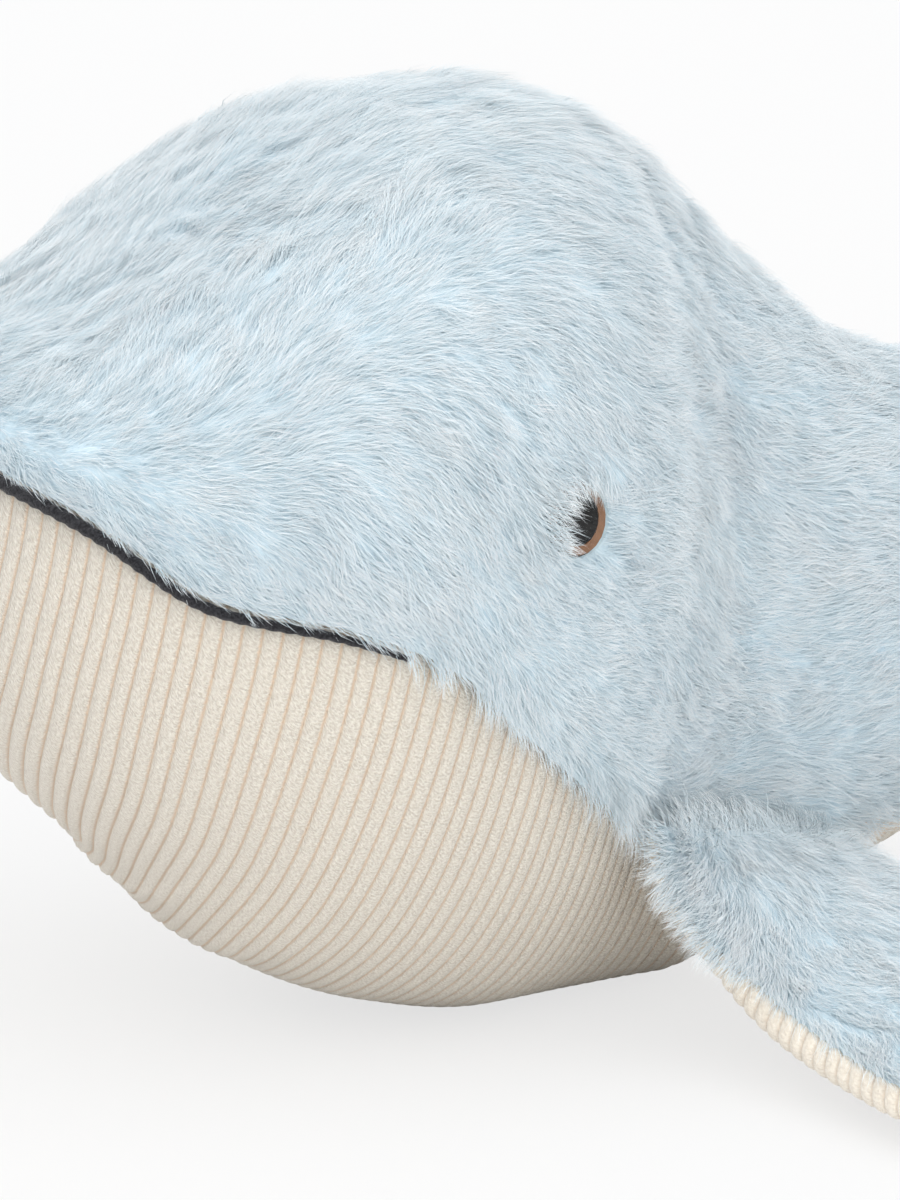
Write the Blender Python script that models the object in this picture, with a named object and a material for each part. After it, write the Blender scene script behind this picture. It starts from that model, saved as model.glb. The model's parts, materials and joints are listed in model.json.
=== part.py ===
"""A stuffed whale: fur back, corduroy chin and belly, corded mouth, safety eyes, side fins and tail flukes.

The model is in metres, +Z up, and stands on its belly at z = 0. The snout points along -X, and the left
flank lies at -Y. The origin is the middle of the bottom of the bounding box.
"""

import math

import bmesh
import bpy
from mathutils import Matrix, Vector

# Body, measured over the fur
body_length = 0.307
body_height = 0.176
body_half_width = 0.082
snout_length = 0.076
tail_end_length = 0.008
upper_fullness = 2.1
lower_fullness = 2.2

# Each row is one cross-section of the body: its place along the body, its top, its bottom, its half width, the
# height of its widest point, the slope that it leans by and the height of the seam between fur and corduroy.
# Heights are shares of body_height, and the slope is how far the top lies behind for each unit of height.
section_shares = (
    (0.000, 0.841, 0.284, 1.000, 0.699, 0.22, 0.699),
    (0.065, 0.835, 0.256, 1.000, 0.653, 0.22, 0.632),
    (0.130, 0.892, 0.217, 1.000, 0.619, 0.21, 0.555),
    (0.195, 0.963, 0.166, 1.000, 0.585, 0.20, 0.526),
    (0.261, 0.994, 0.077, 0.994, 0.557, 0.18, 0.477),
    (0.326, 1.000, 0.025, 0.957, 0.534, 0.15, 0.384),
    (0.391, 0.981, 0.000, 0.854, 0.500, 0.11, 0.295),
    (0.446, 0.946, 0.000, 0.695, 0.466, 0.06, 0.233),
    (0.495, 0.895, 0.000, 0.579, 0.432, 0.01, 0.199),
    (0.560, 0.807, 0.060, 0.561, 0.403, -0.04, 0.182),
    (0.651, 0.702, 0.131, 0.524, 0.403, -0.11, 0.210),
    (0.733, 0.670, 0.222, 0.451, 0.449, -0.15, 0.295),
    (0.847, 0.682, 0.364, 0.329, 0.528, -0.22, 0.443),
    (0.928, 0.699, 0.489, 0.256, 0.597, -0.26, 0.551),
    (1.000, 0.716, 0.597, 0.220, 0.656, -0.30, 0.656),
)
TOP, BOTTOM, WIDTH, WIDEST, LEAN, SEAM = range(1, 7)

# Skins
fur_thickness = 0.0035
corduroy_thickness = 0.002
flat_depth = 0.0005
gap = 0.0003
corduroy_step = fur_thickness - corduroy_thickness
floor_drop = corduroy_step + flat_depth

# How finely the body is divided
snout_turn_shares = (0.03, 0.12, 0.26, 0.42, 0.58, 0.74, 0.88)
middle_rings = 15
tail_turn_shares = (0.55, 0.88)
fur_columns = 10
belly_column_shares = (0.0, 0.15, 0.3, 0.44, 0.57, 0.69, 0.8, 0.905, 1.0)
probe_share = 0.002

# Mouth cord
cord_diameter = 0.0032
mouth_corner_share = 0.232
cord_points_a_side = 30
cord_end_share = 0.45
cord_taper_share = 0.25

# Eyes
eye_place_share = 0.328
eye_height_share = 0.615
eye_diameter = 0.0135
dome_height = 0.0041
eye_backing = 0.0012
flange_thickness = 0.0008
iris_thickness = 0.0006
iris_diameter = 0.0128
pupil_diameter = 0.0094
eye_fit = 0.0001
stem_diameter = 0.004
stem_length = 0.008
stem_rib = 0.0004
stem_ribs = 3
washer_diameter = 0.014
washer_thickness = 0.0014
washer_sink = 0.0014
eye_facets = 20
dome_steps = 5

# Fins
fin_front_share = 0.414
fin_rear_share = 0.554
fin_span = 0.088
fin_skin = 0.0025
fin_puff = 0.0058
fin_round_share = 0.7
root_probes = 25
# Each row is a step outward from the root: its place, then the leading edge along the root, outward and up, then
# the trailing edge likewise. The first of each three is a share of the root's length, the others of fin_span.
fin_edge_shares = (
    (0.00, 0.000, 0.000, 0.000, 1.000, 0.000, 0.000),
    (0.10, 0.042, 0.040, -0.109, 1.026, 0.065, -0.014),
    (0.27, 0.152, 0.174, -0.265, 1.080, 0.212, -0.057),
    (0.44, 0.112, 0.352, -0.356, 1.060, 0.370, -0.125),
    (0.64, 0.030, 0.572, -0.412, 0.900, 0.580, -0.210),
    (0.81, -0.070, 0.765, -0.440, 0.673, 0.759, -0.285),
    (1.00, -0.150, 0.985, -0.456, 0.336, 0.982, -0.367),
)
fin_chord_shares = (0.0, 0.04, 0.13, 0.31, 0.5, 0.69, 0.87, 0.96, 1.0)
fin_step_shares = (0.07, 0.17, 0.3, 0.45, 0.6, 0.74, 0.86, 0.94, 0.985)

# Flukes
fluke_half_span = 0.078
fluke_length = 0.062
fluke_skin = 0.0025
fluke_puff = 0.0062
fluke_rise_share = 0.21
# Each row is a step out from the middle: its place, then the leading edge and the trailing edge, as shares of
# fluke_length behind the hinge.
fluke_edge_shares = (
    (0.00, 0.00, 0.60),
    (0.16, 0.00, 0.70),
    (0.24, 0.03, 0.78),
    (0.40, 0.15, 0.90),
    (0.60, 0.34, 0.98),
    (0.80, 0.57, 1.00),
    (0.93, 0.75, 0.99),
    (1.00, 0.87, 0.96),
)
fluke_half_shares = (0.0, 0.12, 0.22, 0.34, 0.48, 0.62, 0.76, 0.88, 0.96, 0.99)
fluke_step_shares = (0.04, 0.14, 0.32, 0.5, 0.68, 0.86, 0.96, 1.0)

# Rows of a rounded edge, as shares of its radius, and how fully the filling swells from edge to edge, towards
# the root and towards the tip
nose_shares = (0.95, 0.7)
puff_power = 0.85
puff_root_power = 0.78
puff_tip_power = 0.6

fur_blue = (0.62, 0.72, 0.78, 1.0)
corduroy_cream = (0.78, 0.71, 0.60, 1.0)
cord_black = (0.02, 0.02, 0.025, 1.0)
eye_clear = (0.75, 0.72, 0.70, 1.0)
iris_brown = (0.24, 0.10, 0.05, 1.0)
eye_black = (0.01, 0.01, 0.01, 1.0)
washer_white = (0.80, 0.80, 0.78, 1.0)
stuffing_white = (0.88, 0.88, 0.86, 1.0)


def clear_scene():
    for item in list(bpy.data.objects):
        bpy.data.objects.remove(item, do_unlink=True)


def make_material(name, colour, roughness):
    material = bpy.data.materials.new(name)
    material.use_nodes = True
    shader = material.node_tree.nodes["Principled BSDF"]
    shader.inputs["Base Color"].default_value = colour
    shader.inputs["Roughness"].default_value = roughness
    material.diffuse_color = colour
    return material


def slopes(places, values):
    """Slopes of a curve through the values that makes no bump between them."""
    steps = [places[i + 1] - places[i] for i in range(len(places) - 1)]
    rates = [(values[i + 1] - values[i]) / steps[i] for i in range(len(steps))]
    found = [rates[0]]
    for i in range(1, len(rates)):
        if rates[i - 1] * rates[i] <= 0:
            found.append(0.0)
            continue
        before = 2 * steps[i] + steps[i - 1]
        after = steps[i] + 2 * steps[i - 1]
        found.append((before + after) / (before / rates[i - 1] + after / rates[i]))
    found.append(rates[-1])
    return found


def curve_through(rows, column):
    """A smooth function through one column of a table whose first column is the place."""
    places = [row[0] for row in rows]
    values = [row[column] for row in rows]
    leans = slopes(places, values)

    def value(place):
        place = min(max(place, places[0]), places[-1])
        i = 0
        while i < len(places) - 2 and place > places[i + 1]:
            i += 1
        step = places[i + 1] - places[i]
        t = (place - places[i]) / step
        rise = (3 - 2 * t) * t * t
        bend = step * t * (1 - t)
        return values[i] + (values[i + 1] - values[i]) * rise + bend * ((1 - t) * leans[i] - t * leans[i + 1])

    return value


belly_columns = len(belly_column_shares) - 1
section_curves = {key: curve_through(section_shares, key) for key in (TOP, BOTTOM, WIDTH, WIDEST, LEAN, SEAM)}


def roundness(place):
    """How far the body has opened out, from 0 at the tip of the snout and at the end of the tail to 1."""
    from_snout = min(place / snout_length, 1.0)
    from_tail = min((body_length - place) / tail_end_length, 1.0)
    return math.sqrt(1 - (1 - from_snout) ** 2) * math.sqrt(1 - (1 - from_tail) ** 2)


def section(place):
    """Heights of the widest point, top, bottom and seam of a cross-section, its half width and its slope."""
    share = place / body_length
    open_share = roundness(place)
    widest = section_curves[WIDEST](share) * body_height - floor_drop
    top = section_curves[TOP](share) * body_height - floor_drop
    bottom = section_curves[BOTTOM](share) * body_height - floor_drop
    seam = section_curves[SEAM](share) * body_height - floor_drop
    return (
        widest,
        (top - widest) * open_share,
        (widest - bottom) * open_share,
        section_curves[WIDTH](share) * body_half_width * open_share,
        section_curves[LEAN](share),
        seam,
    )


def skin_point(place, turn):
    """A point on the body. turn runs from 0 at the top to 1 at the bottom, and is negative on the left."""
    widest, above, below, half_width, lean, _ = section(place)
    angle = abs(turn) * math.pi
    upright = math.cos(angle)
    sideways = abs(math.sin(angle))
    side = math.copysign(1.0, turn)
    if upright >= 0:
        height = above * upright ** (2 / upper_fullness)
        outward = half_width * sideways ** (2 / upper_fullness)
    else:
        height = -below * (-upright) ** (2 / lower_fullness)
        outward = half_width * sideways ** (2 / lower_fullness)
    return Vector((place + lean * height, side * outward, widest + height))


def skin_normal(place, turn):
    """The outward direction at a point on the body."""
    step = probe_share * min(place, body_length - place)
    along = skin_point(place + step, turn) - skin_point(place - step, turn)
    around = neighbour(place, turn, probe_share) - neighbour(place, turn, -probe_share)
    return along.cross(around).normalized()


def neighbour(place, turn, step):
    """The point a little further round, where a turn past the top or the bottom goes on down the other side."""
    moved = turn + step
    if turn < 0 <= moved:
        return skin_point(place, max(moved, 1e-9))
    if turn >= 0 > moved:
        return skin_point(place, moved)
    if moved > 1:
        return skin_point(place, moved - 2)
    if moved < -1:
        return skin_point(place, moved + 2)
    return skin_point(place, moved)


def under_skin(place, turn, depth):
    return skin_point(place, turn) - skin_normal(place, turn) * depth


def seam_turn(place):
    """How far round from the top the seam between fur and corduroy lies."""
    widest, above, below, _, _, seam = section(place)
    if seam >= widest:
        return math.acos(min((seam - widest) / above, 1.0) ** (upper_fullness / 2)) / math.pi
    return 0.5 + math.asin(min((widest - seam) / below, 1.0) ** (lower_fullness / 2)) / math.pi


def turn_for(place, turn, distance):
    """The change of turn that covers a distance round the body."""
    near = skin_point(place, turn)
    far = skin_point(place, turn + probe_share)
    return distance * probe_share / (far - near).length


def fur_turns(place):
    """Turns of the fur's columns, from beside the top seam to above the side seam."""
    half_width = section(place)[3]
    first = math.asin((gap / 2 / half_width) ** (upper_fullness / 2)) / math.pi
    seam = seam_turn(place)
    last = seam - turn_for(place, seam, gap / 2)
    return [first + (last - first) * i / fur_columns for i in range(fur_columns + 1)]


def belly_turns(place):
    """Turns of half the belly's columns, from below the side seam to the bottom."""
    seam = seam_turn(place)
    first = seam + turn_for(place, seam, gap / 2)
    return [first + (1 - first) * share for share in belly_column_shares]


def ring_places():
    places = [snout_length * (1 - math.cos(share * math.pi / 2)) for share in snout_turn_shares]
    middle = body_length - snout_length - tail_end_length
    places += [snout_length + middle * i / middle_rings for i in range(middle_rings + 1)]
    tail_start = body_length - tail_end_length
    places += [tail_start + tail_end_length * math.sin(share * math.pi / 2) for share in tail_turn_shares]
    return places


def cord_route():
    """Points along the mouth cord, from the left corner of the mouth to the right, each with its thickness share."""
    radius = cord_diameter / 2
    corner = mouth_corner_share * body_length
    halves = {}
    for side in (-1, 1):
        halves[side] = []
        for i in range(cord_points_a_side):
            share = (i + 0.5) / cord_points_a_side
            place = corner * (1 - math.cos(share * math.pi / 2))
            seam = seam_turn(place)
            turn = seam + turn_for(place, seam, radius + gap)
            from_end = min((1 - share) / cord_taper_share, 1.0)
            thickness = cord_end_share + (1 - cord_end_share) * math.sqrt(from_end)
            halves[side].append((under_skin(place, side * turn, corduroy_step - gap - radius), thickness))
    return halves[-1][::-1] + halves[1]


rings = ring_places()
tail_end = skin_point(body_length, 0.0)
edge_radius = fin_skin + gap / 2
fluke_radius = fluke_skin + gap / 2
fluke_rise = math.atan(fluke_rise_share)
fluke_hinge = Vector((tail_end.x + fluke_radius + gap, 0.0, tail_end.z))
fluke_rear = fluke_hinge.x + fluke_length * math.cos(fluke_rise)
snout_front = min(spot.x for spot, _ in cord_route()) - cord_diameter / 2
middle = Vector(((snout_front + fluke_rear) / 2, 0.0, 0.0))


def add_object(name, mesh, material, parent=None):
    """Puts a mesh made in body measures into the scene, with its origin on its parent's axis."""
    mesh.transform(Matrix.Translation(-middle))
    item = bpy.data.objects.new(name, mesh)
    if parent:
        mesh.transform(Matrix.Translation(-parent.location))
        item.parent = parent
    mesh.materials.append(material)
    bpy.context.collection.objects.link(item)
    return item


def solid_mesh(name, points, faces):
    """A closed mesh of these points and faces, facing out."""
    build = bmesh.new()
    made = [build.verts.new(point) for point in points]
    for face in faces:
        build.faces.new([made[i] for i in face])
    bmesh.ops.recalc_face_normals(build, faces=build.faces)
    mesh = bpy.data.meshes.new(name)
    build.to_mesh(mesh)
    build.free()
    return mesh


def slab_mesh(name, upper, lower, mirrored=lambda i, j: False):
    """A closed sheet between two grids of points, in triangles that run the same way in both.

    mirrored tells which squares are split along the other diagonal, for a sheet that is its own mirror image.
    """
    rows = len(upper)
    columns = len(upper[0])
    points = [point for row in upper for point in row] + [point for row in lower for point in row]
    offset = rows * columns

    def at(layer, i, j):
        return layer * offset + i * columns + j

    faces = []
    for layer in (0, 1):
        for i in range(rows - 1):
            for j in range(columns - 1):
                if mirrored(i, j):
                    faces.append((at(layer, i, j), at(layer, i + 1, j), at(layer, i, j + 1)))
                    faces.append((at(layer, i + 1, j), at(layer, i + 1, j + 1), at(layer, i, j + 1)))
                    continue
                faces.append((at(layer, i, j), at(layer, i + 1, j), at(layer, i + 1, j + 1)))
                faces.append((at(layer, i, j), at(layer, i + 1, j + 1), at(layer, i, j + 1)))
    rim = [(0, j) for j in range(columns - 1)]
    rim += [(i, columns - 1) for i in range(rows - 1)]
    rim += [(rows - 1, j) for j in range(columns - 1, 0, -1)]
    rim += [(i, 0) for i in range(rows - 1, 0, -1)]
    for k in range(len(rim)):
        here = rim[k]
        after = rim[(k + 1) % len(rim)]
        faces.append((at(0, *here), at(0, *after), at(1, *after)))
        faces.append((at(0, *here), at(1, *after), at(1, *here)))
    return solid_mesh(name, points, faces)


def make_fur_back(name, side, material):
    """One half of the fur back, from the top seam to the side seam."""
    grids = []
    for depth in (0.0, fur_thickness):
        grids.append([[under_skin(place, side * turn, depth) for turn in fur_turns(place)] for place in rings])
    return add_object(name, slab_mesh(name, *grids), material)


def make_belly(name, material):
    """The corduroy panel, from one side seam under the chin and belly to the other, flat where it rests."""
    grids = []
    for depth in (corduroy_step, fur_thickness):
        grid = []
        for place in rings:
            turns = belly_turns(place)
            left = [under_skin(place, -turn, depth) for turn in turns]
            right = [under_skin(place, turn, depth) for turn in reversed(turns[:-1])]
            row = left + right
            if depth == corduroy_step:
                for point in row:
                    point.z = max(point.z, 0.0)
            grid.append(row)
        grids.append(grid)
    return add_object(name, slab_mesh(name, *grids, lambda i, j: j >= belly_columns), material)


def make_body_stuffing(name, material):
    """The fibre filling, shaped by the skins around it."""
    depth = fur_thickness + gap
    points = []
    index = {}

    def add(i, side, j, turn):
        key = (i, 1 if j in (0, fur_columns + belly_columns + 1) else side, j)
        if key not in index:
            index[key] = len(points)
            points.append(under_skin(rings[i], side * turn, depth))
        return index[key]

    last = fur_columns + belly_columns + 1
    columns = []
    for i, place in enumerate(rings):
        turns = fur_turns(place) + belly_turns(place)
        turns[0] = 0.0
        columns.append({side: [add(i, side, j, turn) for j, turn in enumerate(turns)] for side in (-1, 1)})
    faces = []
    for i in range(len(rings) - 1):
        for side in (-1, 1):
            here = columns[i][side]
            after = columns[i + 1][side]
            for j in range(last):
                faces.append((here[j], after[j], after[j + 1]))
                faces.append((here[j], after[j + 1], here[j + 1]))
    for i in (0, len(rings) - 1):
        around = columns[i][-1] + columns[i][1][-2:0:-1]
        centre = len(points)
        points.append(sum((points[k] for k in around), Vector()) / len(around))
        for k in range(len(around)):
            faces.append((centre, around[k], around[(k + 1) % len(around)]))
    return add_object(name, solid_mesh(name, points, faces), material)


def make_mouth_cord(name, material):
    """The corded trim, which lies on the corduroy's edge just under the fur, from corner to corner."""
    route = cord_route()
    line = bpy.data.curves.new(name, "CURVE")
    line.dimensions = "3D"
    line.bevel_depth = cord_diameter / 2
    line.bevel_resolution = 1
    line.use_fill_caps = True
    spline = line.splines.new("POLY")
    spline.points.add(len(route) - 1)
    for point, (spot, thickness) in zip(spline.points, route):
        point.co = (*(spot - middle), 1.0)
        point.radius = thickness
    line.materials.append(material)
    item = bpy.data.objects.new(name, line)
    bpy.context.collection.objects.link(item)
    return item


def mirror(mesh):
    """Turns a piece of the left side into its twin on the right."""
    mesh.transform(Matrix.Diagonal((1.0, -1.0, 1.0, 1.0)))
    mesh.flip_normals()


def turned_mesh(name, profile, side):
    """A solid turned about the eye's axis. The profile runs from one end of the axis to the other."""
    build = bmesh.new()
    made = [build.verts.new((radius, 0.0, height)) for radius, height in profile]
    closed = profile[0][0] > 0
    edges = [build.edges.new((made[i], made[i + 1])) for i in range(len(made) - 1)]
    if closed:
        edges.append(build.edges.new((made[-1], made[0])))
    bmesh.ops.spin(
        build,
        geom=made + edges,
        cent=(0, 0, 0),
        axis=(0, 0, 1),
        angle=2 * math.pi,
        steps=eye_facets,
        use_merge=True,
    )
    bmesh.ops.remove_doubles(build, verts=build.verts, dist=eye_fit / 10)
    bmesh.ops.recalc_face_normals(build, faces=build.faces)
    mesh = bpy.data.meshes.new(name)
    build.to_mesh(mesh)
    build.free()
    mesh.transform(eye_frame())
    if side > 0:
        mirror(mesh)
    mesh.shade_smooth()
    mesh.set_sharp_from_angle(angle=math.radians(35))
    return mesh


def eye_frame():
    """A frame on the fur's surface at the left eye, whose Z axis points out."""
    place = eye_place_share * body_length
    widest, above, below, _, _, _ = section(place)
    height = eye_height_share * body_height - floor_drop
    turn = -math.acos(((height - widest) / above) ** (upper_fullness / 2)) / math.pi
    out = skin_normal(place, turn)
    return Matrix.Translation(skin_point(place, turn)) @ out.to_track_quat("Z", "Y").to_matrix().to_4x4()


def cut(item, name, profile, side):
    """Cuts a turned hole out of an object."""
    mesh = turned_mesh(name, profile, side)
    cutter = add_object(name, mesh, item.data.materials[0])
    cutter.hide_render = True
    cutter.display_type = "WIRE"
    boolean = item.modifiers.new(name, "BOOLEAN")
    boolean.operation = "DIFFERENCE"
    boolean.solver = "EXACT"
    boolean.object = cutter


def make_eye(word, side, fur, stuffing, materials):
    """A clear dome and an iris ring on a black stem, which a washer holds behind the fur's backing."""
    radius = eye_diameter / 2
    pupil = pupil_diameter / 2
    stem = stem_diameter / 2
    seat = eye_backing - fur_thickness + gap
    flange_top = seat + flange_thickness
    iris_base = flange_top + eye_fit
    pupil_top = flange_top + iris_thickness
    dome_base = pupil_top + 2 * eye_fit
    ball = (radius * radius + dome_height * dome_height) / (2 * dome_height)
    half_angle = math.asin(radius / ball)
    dome = [(0.0, dome_base)]
    for i in range(dome_steps + 1):
        angle = half_angle * (1 - i / dome_steps)
        height = dome_base + ball * (math.cos(angle) - math.cos(half_angle))
        dome.append((ball * math.sin(angle), height))
    dome_name = "eye_dome_" + word
    add_object(dome_name, turned_mesh(dome_name, dome, side), materials["eye_clear"])

    iris = [
        (pupil + eye_fit, iris_base),
        (iris_diameter / 2, iris_base),
        (iris_diameter / 2, pupil_top),
        (pupil + eye_fit, pupil_top),
    ]
    iris_name = "eye_iris_" + word
    add_object(iris_name, turned_mesh(iris_name, iris, side), materials["iris_brown"])

    stem_end = seat - stem_length
    body = [(0.0, stem_end), (stem - stem_rib, stem_end)]
    rib_pitch = (stem_length - flange_thickness) / (stem_ribs + 1)
    for i in range(stem_ribs):
        foot = stem_end + rib_pitch * (i + 0.5)
        body.append((stem - stem_rib, foot))
        body.append((stem, foot + stem_rib))
        body.append((stem - stem_rib, foot + 2 * stem_rib))
    body += [(stem - stem_rib, seat), (radius, seat), (radius, flange_top)]
    body += [(pupil, flange_top), (pupil, pupil_top), (0.0, pupil_top)]
    stem_name = "eye_stem_" + word
    add_object(stem_name, turned_mesh(stem_name, body, side), materials["eye_black"])

    washer_top = -fur_thickness - washer_sink
    washer_base = washer_top - washer_thickness
    washer = [
        (stem + gap, washer_base),
        (washer_diameter / 2, washer_base),
        (washer_diameter / 2, washer_top),
        (stem + gap, washer_top),
    ]
    washer_name = "eye_washer_" + word
    add_object(washer_name, turned_mesh(washer_name, washer, side), materials["washer_white"])

    well = radius + gap
    hole = stem + gap
    past = fur_thickness
    cutter = [
        (0.0, -fur_thickness - past),
        (hole, -fur_thickness - past),
        (hole, seat - gap),
        (well, seat - gap),
        (well, past),
        (0.0, past),
    ]
    cut(fur, "eye_well_" + word, cutter, side)
    pocket = washer_diameter / 2 + gap
    cutter = [
        (0.0, stem_end - gap),
        (hole, stem_end - gap),
        (hole, washer_base - gap),
        (pocket, washer_base - gap),
        (pocket, past),
        (0.0, past),
    ]
    cut(stuffing, "washer_well_" + word, cutter, side)


def fin_axes():
    """The left fin's root on the side seam, and its directions along the root, outward and up."""
    front_place = fin_front_share * body_length
    rear_place = fin_rear_share * body_length
    front = skin_point(front_place, -seam_turn(front_place))
    rear = skin_point(rear_place, -seam_turn(rear_place))
    along = (rear - front).normalized()
    outward = along.cross(Vector((0.0, 0.0, 1.0))).normalized()
    up = outward.cross(along)
    length = (rear - front).length
    clearance = edge_radius + gap
    shift = 0.0
    for i in range(root_probes):
        place = front_place + (rear_place - front_place) * i / (root_probes - 1)
        for j in range(root_probes):
            turn = seam_turn(place) + turn_for(place, seam_turn(place), clearance * (4 * j / (root_probes - 1) - 2))
            to_point = skin_point(place, -turn) - front
            above = to_point.dot(up)
            if abs(above) < clearance:
                shift = max(shift, to_point.dot(outward) + math.sqrt(clearance * clearance - above * above))
    return front + outward * shift, along, outward, up, length


fin_front, fin_along, fin_outward, fin_up, fin_root = fin_axes()
fin_curves = [curve_through(fin_edge_shares, k) for k in range(1, 7)]


def fin_middle(chord, step):
    """A point of the left fin's middle surface. chord runs from the leading edge, and step from the root."""
    lead = [curve(step) for curve in fin_curves[:3]]
    trail = [curve(step) for curve in fin_curves[3:]]
    narrow = 1.0
    if step > fin_round_share:
        narrow = math.sqrt(1 - ((step - fin_round_share) / (1 - fin_round_share)) ** 2)
    across = 0.5 + (chord - 0.5) * narrow
    mixed = [a + (b - a) * across for a, b in zip(lead, trail)]
    spot = fin_front + fin_along * mixed[0] * fin_root
    return spot + (fin_outward * mixed[1] + fin_up * mixed[2]) * fin_span


def edge_height(distance, radius):
    """Half the thickness of a rounded edge, at a distance in from its rim."""
    inside = min(max(distance / radius, 0.0), 1.0)
    return math.sqrt(1 - (1 - inside) ** 2)


def fin_nodes():
    """Rows of the fin's middle points, normals, edge heights and puffs, from inside the root's nose to the tip."""
    probe = probe_share
    rows = []
    steps = [(0.0, share) for share in nose_shares] + [(0.0, 0.0)] + [(step, 0.0) for step in fin_step_shares]
    rim_share = 1 - nose_shares[0]
    for step, inward in steps:
        row = []
        for chord in fin_chord_shares:
            at = min(max(step, probe), 1 - probe)
            over = min(max(chord, probe), 1 - probe)
            span = fin_middle(over, at + probe) - fin_middle(over, at - probe)
            across = fin_middle(over + probe, at) - fin_middle(over - probe, at)
            normal = span.cross(across).normalized()
            spot = fin_middle(chord, step) - span.normalized() * inward * edge_radius
            side_distance = min(chord, 1 - chord) * fin_root
            end_distance = edge_radius * (1 - inward) if inward else (1 - step) * fin_span
            height = edge_height(side_distance + rim_share * edge_radius, edge_radius)
            height *= edge_height(end_distance, edge_radius)
            across_share = math.sin(math.pi * chord) ** puff_power
            out_share = math.sin(math.pi * step**puff_root_power) ** puff_power
            row.append((spot, normal, height, across_share * out_share * fin_puff))
        rows.append(row)
    return rows


def fluke_nodes():
    """Rows of the flukes' middle points, normals, edge heights and puffs, from one tip to the other."""
    front = curve_through(fluke_edge_shares, 1)
    rear = curve_through(fluke_edge_shares, 2)
    back = Vector((math.cos(fluke_rise), 0.0, math.sin(fluke_rise)))
    normal = Vector((-math.sin(fluke_rise), 0.0, math.cos(fluke_rise)))
    rim_share = 1 - nose_shares[0]
    halves = [-share for share in reversed(fluke_half_shares[1:])] + list(fluke_half_shares)
    rows = []
    for half in halves:
        row = []
        lead = front(abs(half)) * fluke_length
        trail = rear(abs(half)) * fluke_length
        steps = [(0.0, share) for share in nose_shares] + [(0.0, 0.0)] + [(step, 0.0) for step in fluke_step_shares]
        for step, inward in steps:
            far = lead + (trail - lead) * step - inward * fluke_radius
            spot = fluke_hinge + back * far + Vector((0.0, half * fluke_half_span, 0.0))
            to_tip = (1 - abs(half)) * fluke_half_span
            end_distance = min(fluke_radius * (1 - inward), (1 - step) * (trail - lead) + rim_share * fluke_radius)
            height = edge_height(to_tip, fluke_radius) * edge_height(end_distance, fluke_radius)
            back_share = max(math.sin(math.pi * step**puff_root_power), 0.0) ** puff_power
            out_share = math.cos(half * math.pi / 2) ** puff_tip_power
            row.append((spot, normal, height, back_share * out_share * fluke_puff))
        rows.append(row)
    return rows


def layer(nodes, side, height):
    """A grid of points off the middle surface, at a height given by a function of each node."""
    return [[spot + normal * side * height(edge, puff) for spot, normal, edge, puff in row] for row in nodes]


def make_limb(names, nodes, side, skin, inner, materials, parent):
    """A flat stuffed limb: fur above, corduroy below, sewn together round the rim, with filling between.

    side is -1 for the left limb, 1 for its mirror image on the right, and 0 for one that spans the middle.
    """

    def cavity(edge, puff):
        return gap / 2 + puff

    def outside(edge, puff):
        return gap / 2 + skin * edge + puff

    def filling(edge, puff):
        return puff - gap / 2

    rows, columns = inner
    core = [row[columns] for row in nodes[rows]]
    parts = (
        (names[0], layer(nodes, 1, outside), layer(nodes, 1, cavity)),
        (names[1], layer(nodes, -1, outside), layer(nodes, -1, cavity)),
        (names[2], layer(core, 1, filling), layer(core, -1, filling)),
    )
    for (name, upper, lower), material in zip(parts, materials):
        halfway = (len(upper) - 1) / 2
        mesh = slab_mesh(name, upper, lower, lambda i, j: side == 0 and i >= halfway)
        if side > 0:
            mirror(mesh)
        add_object(name, mesh, material, parent)


def add_hinge(name, spot, along):
    """An empty whose Z axis is a joint's axis."""
    hinge = bpy.data.objects.new(name, None)
    hinge.location = spot - middle
    hinge.empty_display_size = fin_span
    bpy.context.collection.objects.link(hinge)
    print(name, [round(v, 6) for v in hinge.location], [round(v, 6) for v in along])
    return hinge


def main():
    clear_scene()
    materials = {
        "fur_blue": make_material("fur_blue", fur_blue, 0.9),
        "corduroy_cream": make_material("corduroy_cream", corduroy_cream, 0.85),
        "cord_black": make_material("cord_black", cord_black, 0.8),
        "eye_clear": make_material("eye_clear", eye_clear, 0.05),
        "iris_brown": make_material("iris_brown", iris_brown, 0.3),
        "eye_black": make_material("eye_black", eye_black, 0.1),
        "washer_white": make_material("washer_white", washer_white, 0.5),
        "stuffing_white": make_material("stuffing_white", stuffing_white, 0.95),
    }
    stuffing = make_body_stuffing("body_stuffing", materials["stuffing_white"])
    furs = {
        "left": make_fur_back("fur_back_left", -1, materials["fur_blue"]),
        "right": make_fur_back("fur_back_right", 1, materials["fur_blue"]),
    }
    make_belly("belly_corduroy", materials["corduroy_cream"])
    make_mouth_cord("mouth_cord", materials["cord_black"])
    limb_materials = (materials["fur_blue"], materials["corduroy_cream"], materials["stuffing_white"])
    fin_centre = fin_front + fin_along * fin_root / 2
    nodes = fin_nodes()
    for word, side in (("left", -1), ("right", 1)):
        make_eye(word, side, furs[word], stuffing, materials)
        spot = Vector((fin_centre.x, side * abs(fin_centre.y), fin_centre.z))
        along = Vector((fin_along.x, -side * fin_along.y, fin_along.z))
        hinge = add_hinge(word + "_fin_hinge", spot, along)
        names = [kind + "_" + word for kind in ("fin_fur", "fin_underside", "fin_stuffing")]
        make_limb(names, nodes, side, fin_skin, (slice(4, 10), slice(2, 7)), limb_materials, hinge)
    hinge = add_hinge("fluke_hinge", fluke_hinge, Vector((0.0, 1.0, 0.0)))
    names = ("fluke_fur", "fluke_underside", "fluke_stuffing")
    inner = (slice(2, 17), slice(4, 9))
    make_limb(names, fluke_nodes(), 0, fluke_skin, inner, limb_materials, hinge)


main()
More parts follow.
